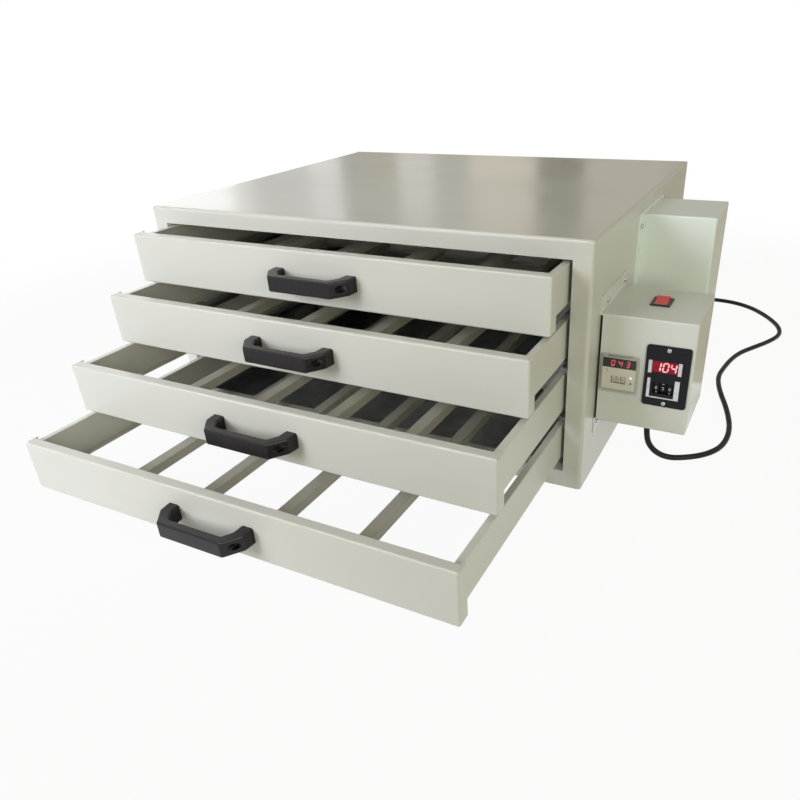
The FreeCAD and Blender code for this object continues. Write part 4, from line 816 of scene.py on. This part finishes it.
@dataclass
class ControlBox:
    """The box of controls on the cabinet's right side, with its two instruments and the rocker switch."""

    timer_digit: float = 11.8 * MM
    controller_digit: float = 7.4 * MM
    digit_pitch: float = 9.8 * MM
    bar_thick: float = 0.16 * MM
    halo_thick: float = 0.08 * MM
    timer_figure: float = 4.2 * MM
    controller_figure: float = 2.9 * MM
    mark_height: float = 3.4 * MM
    # From the plate's top left corner
    mark_inset: tuple[float, float] = (5.6 * MM, 4.6 * MM)
    # The lamp and the pointer under it: from the plate's right edge, and above the wheels or the plate's foot
    lamp_inset: float = 5.5 * MM
    lamp_rise: float = 5.0 * MM
    pointer_rise: float = 11.0 * MM
    lamp_radius: float = 1.35 * MM
    lamp_flatness: float = 0.75
    lamp_stand: float = 0.9 * MM

    POINTER = ((-2.0, -1.4), (2.0, -1.4), (0.0, 2.0))

    def build(self) -> None:
        """Builds the lit digits, the printed figures and the marks."""
        self.dress()
        self.displays()
        self.marks()
        self.lamp()
        Thumbwheels("timer_wheel", self.timer_figure, WHITE_INK, shown=(0, 2, 0)).build()
        Thumbwheels("controller_wheel", self.controller_figure, DARK_INK, shown=(0, 6, 0)).build()
        log.info("control box: two displays, six figured wheels, lamp and marks")

    def dress(self) -> None:
        """Gives the instruments the finishes that differ from their slots' usual ones."""
        # The control box's coat carries painted light on its front.
        dress_node("control_box", BOX_PAINT_WITH_PAINTED_LIGHT)
        dress_node("controller_case", GREY_ABS)
        dress_node("controller_window", CONTROLLER_WINDOW)

    def display(self, instrument: str, text: str, height: float, shift: float,
                bar: tuple[float, Finish], halo: tuple[float, Finish]) -> None:
        """Lights one display: its bars, and under them the light that spreads in the window.

        Args:
            instrument: The instrument that has the window.
            text: The digits.
            height: Their height.
            shift: How far they stand to the right of the window's middle.
            bar: Width and finish of a bar.
            halo: Width and finish of the light round it.
        """
        low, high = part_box(f"{instrument}_window")
        at = Carrier(((low.x + high.x) / 2 + shift, low.y, (low.z + high.z) / 2))
        for end, thick, (width, finish) in (("", self.bar_thick, bar), ("_halo", self.halo_thick, halo)):
            SegmentDigits(text, at, height, self.digit_pitch, width, thick).build(
                f"{instrument}_digits{end}", finish, "cabinet")

    def displays(self) -> None:
        """Lights the two displays."""
        self.display("timer", "104", self.timer_digit, shift=0.8 * MM,
                     bar=(1.7 * MM, BRIGHT_SEGMENT), halo=(3.0 * MM, BRIGHT_HALO))
        self.display("controller", "043", self.controller_digit, shift=1.5 * MM,
                     bar=(1.1 * MM, DIM_SEGMENT), halo=(1.9 * MM, DIM_HALO))

    def marks(self) -> None:
        """Prints the degree mark and the pointer under the lamp on the controller's plate."""
        low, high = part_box("controller_face")
        shape = bmesh.new()
        printed = PrintedText(self.mark_height)
        printed.add(shape, "°C", Carrier((low.x + self.mark_inset[0], low.y, high.z - self.mark_inset[1])))
        carrier = Carrier((high.x - self.lamp_inset, low.y, low.z + self.pointer_rise))
        rings = [[shape.verts.new(carrier.place(x * MM, z * MM, out)) for x, z in self.POINTER]
                 for out in (0.0, printed.thick)]
        add_prism(shape, *rings)
        new_piece("controller_marks", shape, DARK_INK, "cabinet", smooth=False)

    def lamp(self) -> None:
        """Sets the lens of the indicator lamp into its hole in the plate."""
        low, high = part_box("controller_face")
        wheel_low, wheel_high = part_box("controller_wheel_1")
        at = Vector((high.x - self.lamp_inset, low.y, (wheel_low.z + wheel_high.z) / 2 + self.lamp_rise))
        shape = bmesh.new()
        bmesh.ops.create_uvsphere(shape, u_segments=24, v_segments=12, radius=self.lamp_radius)
        for vert in shape.verts:
            deep = self.lamp_stand if vert.co.z > 0 else 0.0
            vert.co = Vector((vert.co.x, vert.co.z * self.lamp_flatness + deep, vert.co.y)) + at
        new_piece("controller_lamp", shape, LAMP, "cabinet")


@dataclass
class Cabinet:
    """The cabinet with its drawers, runners and housings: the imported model's own nodes."""

    # What parts of a drawer wear in place of their slot's finish, by the end of the node's name; the bars' coat
    # is darkened as painted shade
    drawer_finishes: dict[str, Finish] = field(default_factory=lambda: {
        "front": DRAWER_PAINT, "tray": DRAWER_PAINT, "bars": SHADED_BAR_PAINT, "handle_screws": BLACK_BOLT})

    def build(self) -> None:
        """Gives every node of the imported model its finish."""
        for name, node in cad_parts.items():
            slot = node.material_slots[0].material.name.split(".")[0]
            part = name.split("_", 2)[-1] if name.startswith("drawer_") else ""
            dress_node(name, self.drawer_finishes.get(part, NODE_FINISHES[slot]))
        log.info("cabinet: %d nodes dressed", len(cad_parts))


@dataclass
class MainsLead:
    """The free mains lead: gland, stretch on the floor, put-away coil and plug."""

    diameter: float = 8.5 * MM
    length: float = 2.055
    coil_middle: Point = (0.266, 0.490, 0.0)
    coil_outer: float = 56.475 * MM
    layer: float = 9.3 * MM
    plug_shift: float = 8.5 * MM
    quarters: int = 12
    points_per_quarter: int = 3

    # Route in mm: out of the gland, down to the floor, out to the right and round to the back.
    DROP = ((423, -188, 65), (423, -188, 39.4), (434.7, -182.7, 17.1), (455, -173.6, 4.25))
    FLOOR = ((482, -161), (505, -142), (521, -116), (527, -85), (527, -50), (521, -12), (511, 29), (498, 71),
             (488, 111), (483, 149), (487, 187), (494, 232), (506, 273), (528, 311), (551, 350), (568, 392),
             (566, 433), (550, 474), (527, 512), (499, 546), (462, 570), (419, 577), (377, 572), (339, 559),
             (310.5, 546.475), (274.5, 546.475))

    def coil_point(self, quarter: float) -> Vector:
        """Gives a point of the coil's winding: inwards on the floor, then outwards on top of it.

        Args:
            quarter: How many quarter turns in, from 0 to the coil's last.

        Returns:
            The control point.
        """
        # It climbs to the upper layer in the half turn round its middle.
        share = min(max((quarter - (self.quarters / 2 - 1)) / 2, 0.0), 1.0)
        climb = share * share * (3 - 2 * share)
        reach = self.coil_outer - self.layer * min(quarter, self.quarters - quarter) / 4
        # A control point stands a little outside the curve that it bends.
        reach /= math.cos(math.pi / 4 / self.points_per_quarter)
        angle = math.pi / 2 * (quarter + 1)
        x, y, _ = self.coil_middle
        height = self.diameter / 2 + climb * self.layer
        return Vector((x + reach * math.cos(angle), y + reach * math.sin(angle), height))

    def route(self) -> list[Vector]:
        """Gives the whole route.

        Returns:
            The control points, in metres, from the gland to the plug.
        """
        points = [Vector(p) * MM for p in self.DROP]
        points += [Vector((x * MM, y * MM, self.diameter / 2)) for x, y in self.FLOOR]
        steps = self.quarters * self.points_per_quarter
        points += [self.coil_point(self.quarters * (i + 0.5) / steps) for i in range(steps)]
        x, y, _ = self.coil_middle
        points.append(Vector((x - self.plug_shift, y + self.coil_outer, self.diameter / 2 + self.layer)))
        return points

    def build(self) -> None:
        points = self.route()
        curve = bpy.data.curves.new("mains_lead", "CURVE")
        curve.dimensions = "3D"
        spline = curve.splines.new("NURBS")
        spline.points.add(len(points) - 1)
        for place, point in zip(spline.points, points):
            place.co = (*point, 1.0)
        spline.order_u = 3
        spline.use_endpoint_u = True
        spline.resolution_u = 8
        curve.bevel_depth = self.diameter / 2
        curve.bevel_resolution = 6
        curve.use_fill_caps = True
        curve.materials.append(LEAD_SHEATH.material())
        lead = bpy.data.objects.new("mains_lead", curve)
        bpy.context.scene.collection.objects.link(lead)
        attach(lead, "cabinet")
        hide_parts("mains_cord", "cord_coil")
        plug = Plug(points[-1]).build()
        log.info("mains lead: %d points, coil and plug", len(points))


@dataclass
class Plug:
    """Moulded plug with three flat blades; it lies beside the coil and points to the left."""

    start: Vector
    tail: float = 40.0 * MM
    body: float = 40.0 * MM
    width: float = 34.0 * MM
    thick: float = 27.1 * MM
    tail_ribs: int = 7
    tail_tip: float = 4.35 * MM
    tail_root: float = 8.0 * MM
    rib_depth: float = 0.55 * MM
    sides: int = 40
    blade_sunk: float = 1.0 * MM
    blade_half: float = 3.2 * MM
    blade_round: float = 2.2 * MM
    blade_thin: float = 1.2 * MM

    # The grip's rings: share of its length, of half its width and height, and how square they are
    GRIP = ((0.03, 0.62, 0.72, 2.4), (0.08, 0.84, 0.92, 3.0), (0.16, 0.95, 0.99, 3.6), (0.3, 0.97, 0.99, 3.8),
            (0.42, 0.93, 0.96, 3.8), (0.56, 0.91, 0.95, 3.8), (0.7, 0.95, 0.98, 4.0), (0.82, 1.0, 1.0, 4.4),
            (0.95, 1.0, 1.0, 4.6), (0.985, 0.985, 0.98, 4.6), (1.0, 0.94, 0.93, 4.6))
    # The blades in mm: place to the right and up, lean in degrees, and reach
    BLADES = ((8.0, 5.0, 30, 18.0), (-8.0, 5.0, -30, 18.0), (0.0, -6.5, 0, 21.0))

    def ring(self, shape: Shape, along: float, half_wide: float, half_high: float, square: float) -> Ring:
        """Adds one ring of the loft.

        Args:
            shape: The mesh that gets the ring.
            along: Its distance from the plug's start.
            half_wide: Half its width.
            half_high: Half its height.
            square: How square it is: 2 for an ellipse, more for a rounded rectangle.

        Returns:
            The ring's vertices.
        """
        made = []
        for i in range(self.sides):
            a = 2 * math.pi * i / self.sides
            c, s = math.cos(a), math.sin(a)
            y = half_wide * math.copysign(abs(c) ** (2 / square), c)
            z = half_high * math.copysign(abs(s) ** (2 / square), s)
            made.append(shape.verts.new(self.start + Vector((-along, y, z))))
        return made

    def sections(self) -> list[tuple[float, float, float, float]]:
        """Lists the loft's rings: the ribbed tail, the shoulders, the waisted grip and the flat face.

        Returns:
            For each ring its distance from the start, half its width, half its height and how square it is.
        """
        rows = []
        rings_per_rib = 4
        steps = rings_per_rib * self.tail_ribs
        for i in range(steps + 1):
            share = i / steps
            radius = self.tail_tip + (self.tail_root - self.tail_tip) * share
            groove = self.rib_depth if i % rings_per_rib in (1, 2) and 0 < i < steps else 0.0
            # The grooves get deeper towards the grip.
            half = radius - groove * share - groove * 0.3
            rows.append((share * self.tail, half, half, 2.0))
        half_w, half_h = self.width / 2, self.thick / 2
        for share, wide, high, square in self.GRIP:
            rows.append((self.tail + share * self.body, half_w * wide, half_h * high, square))
        return rows

    def add_blade(self, shape: Shape, across: float, up: float, turn: float, reach: float) -> None:
        """Adds one flat blade with a rounded, thinned tip.

        Args:
            shape: The mesh that gets the blade.
            across: Its place to the right of the face's middle.
            up: Its place above it.
            turn: Its lean, in degrees.
            reach: How far it stands out.
        """
        base = self.start + Vector((-(self.tail + self.body - self.blade_sunk), across, up))
        lean = Matrix.Rotation(math.radians(turn), 3, "X")
        half, tip, steps = self.blade_half, self.blade_round, 8
        outline = [(0.0, -half)]
        for i in range(steps + 1):
            a = math.pi * (i / steps - 0.5)
            outline.append((reach - tip + tip * math.cos(a), half * math.sin(a)))
        outline.append((0.0, half))
        rings = []
        for side in (-1, 1):
            ring = []
            for x, z in outline:
                half_thick = (0.8 if x < reach - self.blade_thin else 0.5) * MM
                ring.append(shape.verts.new(base + lean @ Vector((-x, side * half_thick, z))))
            rings.append(ring)
        add_prism(shape, *rings)

    def build(self) -> list[bpy.types.Object]:
        """Builds the moulded body and the blades.

        Returns:
            The two pieces.
        """
        shape = bmesh.new()
        rings = [self.ring(shape, *row) for row in self.sections()]
        for ring, following in zip(rings, rings[1:]):
            add_band(shape, ring, following)
        shape.faces.new(rings[0][::-1])
        shape.faces.new(rings[-1])
        body = new_piece("plug_body", shape, PLUG_PVC, "cabinet")
        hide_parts("mains_plug")
        shape = bmesh.new()
        for across, up, turn, reach in self.BLADES:
            self.add_blade(shape, across * MM, up * MM, turn, reach * MM + self.blade_sunk)
        blades = new_piece("plug_blades", shape, NICKEL_BLADE, "cabinet")
        return [body, blades]


@dataclass
class Lamp:
    """One soft light of the studio: a rectangle that shines towards one point."""

    name: str
    place: Point
    aim: Point
    size: tuple[float, float]
    watts: float
    colour: str
    spread: float = 180.0
    in_gloss: bool = True
    in_diffuse: bool = True

    def build(self) -> None:
        """Hangs the lamp and turns it to what it lights."""
        light = bpy.data.lights.new(self.name, "AREA")
        light.shape = "RECTANGLE"
        light.size, light.size_y = self.size
        light.energy = self.watts
        light.spread = math.radians(self.spread)
        light.color = linear(self.colour)[:3]
        holder = bpy.data.objects.new(self.name, light)
        holder.location = self.place
        holder.visible_glossy = self.in_gloss
        holder.visible_diffuse = self.in_diffuse
        holder.rotation_euler = (Vector(self.aim) - Vector(self.place)).to_track_quat("-Z", "Y").to_euler()
        bpy.context.scene.collection.objects.link(holder)


@dataclass(frozen=True)
class GlowBoard(Finish):
    """Board that only reflections show."""

    strength: float = 1.0

    def surface(self, tree: Tree) -> Node:
        """Builds an even glow."""
        return add_node(tree, "Emission", {"Color": linear(self.colour), "Strength": self.strength})


@dataclass
class Studio:
    """Camera, floor, backdrop, lamps and the boards that the gloss of the top reflects."""

    camera_place: Point = (0.576632, -1.102636, 0.561477)
    right: Point = (0.89302, 0.44826, -0.03976)
    down: Point = (0.18422, -0.44476, -0.8765)
    forward: Point = (-0.41058, 0.77541, -0.47976)
    lens: float = 31.361
    sensor: float = 36.0
    shift: tuple[float, float] = (-0.0570, 0.0279)
    floor_reach: float = 14.0

    # The wall behind the object in steps to the left of straight back, each with its tint and brightness:
    # a dim wall, pale uprights, and a bright window at the far left.
    ROOM = ((-40, 6, "#F4EEDE", 0.5), (6, 13.5, "#F4EEDE", 0.62), (13.5, 18, "#F0E0C0", 0.12),
            (18, 24.5, "#F4EBDA", 0.92), (24.5, 28, "#F4EEE2", 0.56), (28, 31.5, "#FAF6F0", 0.92),
            (31.5, 35, "#F4EEDA", 0.5), (35, 37, "#FAF4EA", 0.42), (37, 40, "#FFFFFF", 1.1),
            (40, 43, "#FFFCFC", 0.8), (43, 45.4, "#FFFFFF", 0.72), (45.4, 47.2, "#FFFFFF", 1.1),
            (47.2, 75, "#FFFFFF", 1.9))
    ROOM_FAR = 5.0
    ROOM_HEIGHT = (0.02, 3.2)

    # A board on the floor to the right that dulls what the right side and the housings reflect
    DIM_FLOOR = ((0.5, 0.1, 0.006), (1.9, 0.1, 0.006), (2.6, 4.0, 0.006), (0.5, 4.0, 0.006))

    # Lamps: name, place, aim, size, watts, colour, and what differs from a plain lamp
    LAMPS = (
        Lamp("front_lamp", (-1.15, -1.95, 1.0), (-0.5, -0.42, 0.15), (1.4, 1.1), 8.6, "#F0F3FF",
             spread=66.0, in_gloss=False),
        # Only a shine: the light line along folded edges and the handles' ridges
        Lamp("edge_lamp", (-0.5, -1.6, 2.3), (-0.1, -0.45, 0.2), (1.6, 0.5), 32.0, "#FFFFFF", in_diffuse=False),
        Lamp("back_lamp", (0.7, 2.5, 0.7), (0.0, 0.3, 0.15), (1.6, 1.0), 16.0, "#FFFFF6", in_gloss=False),
        Lamp("top_lamp", (0.0, 0.2, 2.6), (0.0, 0.0, 0.3), (2.2, 2.2), 2.0, "#FFF4E2"),
        Lamp("right_lamp", (2.0, -1.7, 0.75), (0.3, 0.0, 0.2), (1.2, 1.0), 20.0, "#FFFFEE"),
    )

    def camera(self) -> None:
        """Sets the camera at the photograph's angle."""
        data = bpy.data.cameras.new("camera")
        data.lens = self.lens
        data.sensor_width = self.sensor
        data.shift_x, data.shift_y = self.shift
        data.clip_start = 0.05
        holder = bpy.data.objects.new("camera", data)
        turn = Matrix((self.right, [-v for v in self.down], [-v for v in self.forward])).transposed()
        holder.matrix_world = Matrix.Translation(self.camera_place) @ turn.to_4x4()
        bpy.context.scene.collection.objects.link(holder)
        bpy.context.scene.camera = holder

    def board(self, name: str, corners: Sequence[Point], finish: Finish) -> bpy.types.Object:
        """Sets up one flat board.

        Args:
            name: Its name.
            corners: Its four corners in order.
            finish: Its finish.

        Returns:
            The board, which isn't part of the object.
        """
        mesh = bpy.data.meshes.new(name)
        mesh.from_pydata([Vector(c) for c in corners], [], [range(len(corners))])
        mesh.materials.append(finish.material())
        piece = bpy.data.objects.new(name, mesh)
        bpy.context.scene.collection.objects.link(piece)
        return piece

    def unseen(self, piece: bpy.types.Object) -> None:
        """Lets only glossy surfaces see a board.

        Args:
            piece: The board.
        """
        piece.visible_camera = False
        piece.visible_diffuse = False
        piece.visible_shadow = False
        piece.visible_transmission = False

    def standing_board(self, start: float, end: float, finish: Finish) -> None:
        """Stands one board of the room behind the object.

        Args:
            start: Its right side, in degrees to the left of straight back.
            end: Its left side.
            finish: Its glow.
        """
        feet = [(-self.ROOM_FAR * math.sin(math.radians(a)), self.ROOM_FAR * math.cos(math.radians(a)))
                for a in (end, start)]
        low, high = self.ROOM_HEIGHT
        corners = [(*feet[0], low), (*feet[1], low), (*feet[1], high), (*feet[0], high)]
        self.unseen(self.board(finish.name, corners, finish))

    def world(self) -> None:
        """Makes a soft grey surrounding light behind which the camera sees plain white."""
        world = bpy.data.worlds.new("studio")
        world.use_nodes = True
        tree = world.node_tree
        tree.nodes.clear()
        soft = add_node(tree, "Background", {"Color": linear("#FFFBE4"), "Strength": 0.29})
        white = add_node(tree, "Background", {"Color": (1.0, 1.0, 1.0, 1.0), "Strength": 1.0})
        both = add_node(tree, "MixShader", {0: seen_directly(tree), 1: soft, 2: white})
        add_node(tree, "OutputWorld", {"Surface": both})
        bpy.context.scene.world = world

    def build(self) -> None:
        """Builds the studio."""
        self.camera()
        self.world()
        reach = self.floor_reach
        self.board("floor", [(-reach, -reach, 0), (reach, -reach, 0), (reach, reach, 0), (-reach, reach, 0)],
                   StudioBoard("matt_pale_floor", "#C4C6BF", cloud="#CACCC5"))
        for start, end, tint, strength in self.ROOM:
            self.standing_board(start, end, GlowBoard(f"room_board_from_{start:g}", tint, strength))
        self.unseen(self.board("dim_floor_board", self.DIM_FLOOR, GlowBoard("dim_floor_board", "#A89C88")))
        for lamp in self.LAMPS:
            lamp.build()
        bpy.context.scene.view_settings.view_transform = "Standard"
        log.info("studio: camera, floor, %d boards and %d lamps", len(self.ROOM) + 1, len(self.LAMPS))


def main() -> None:
    """Builds the studio, the lead, the dressed cabinet and the control box's displays and marks."""
    logging.basicConfig(level=logging.INFO, format="%(name)s: %(message)s")
    Studio().build()
    MainsLead().build()
    Cabinet().build()
    ControlBox().build()


if __name__ == "__main__":
    main()
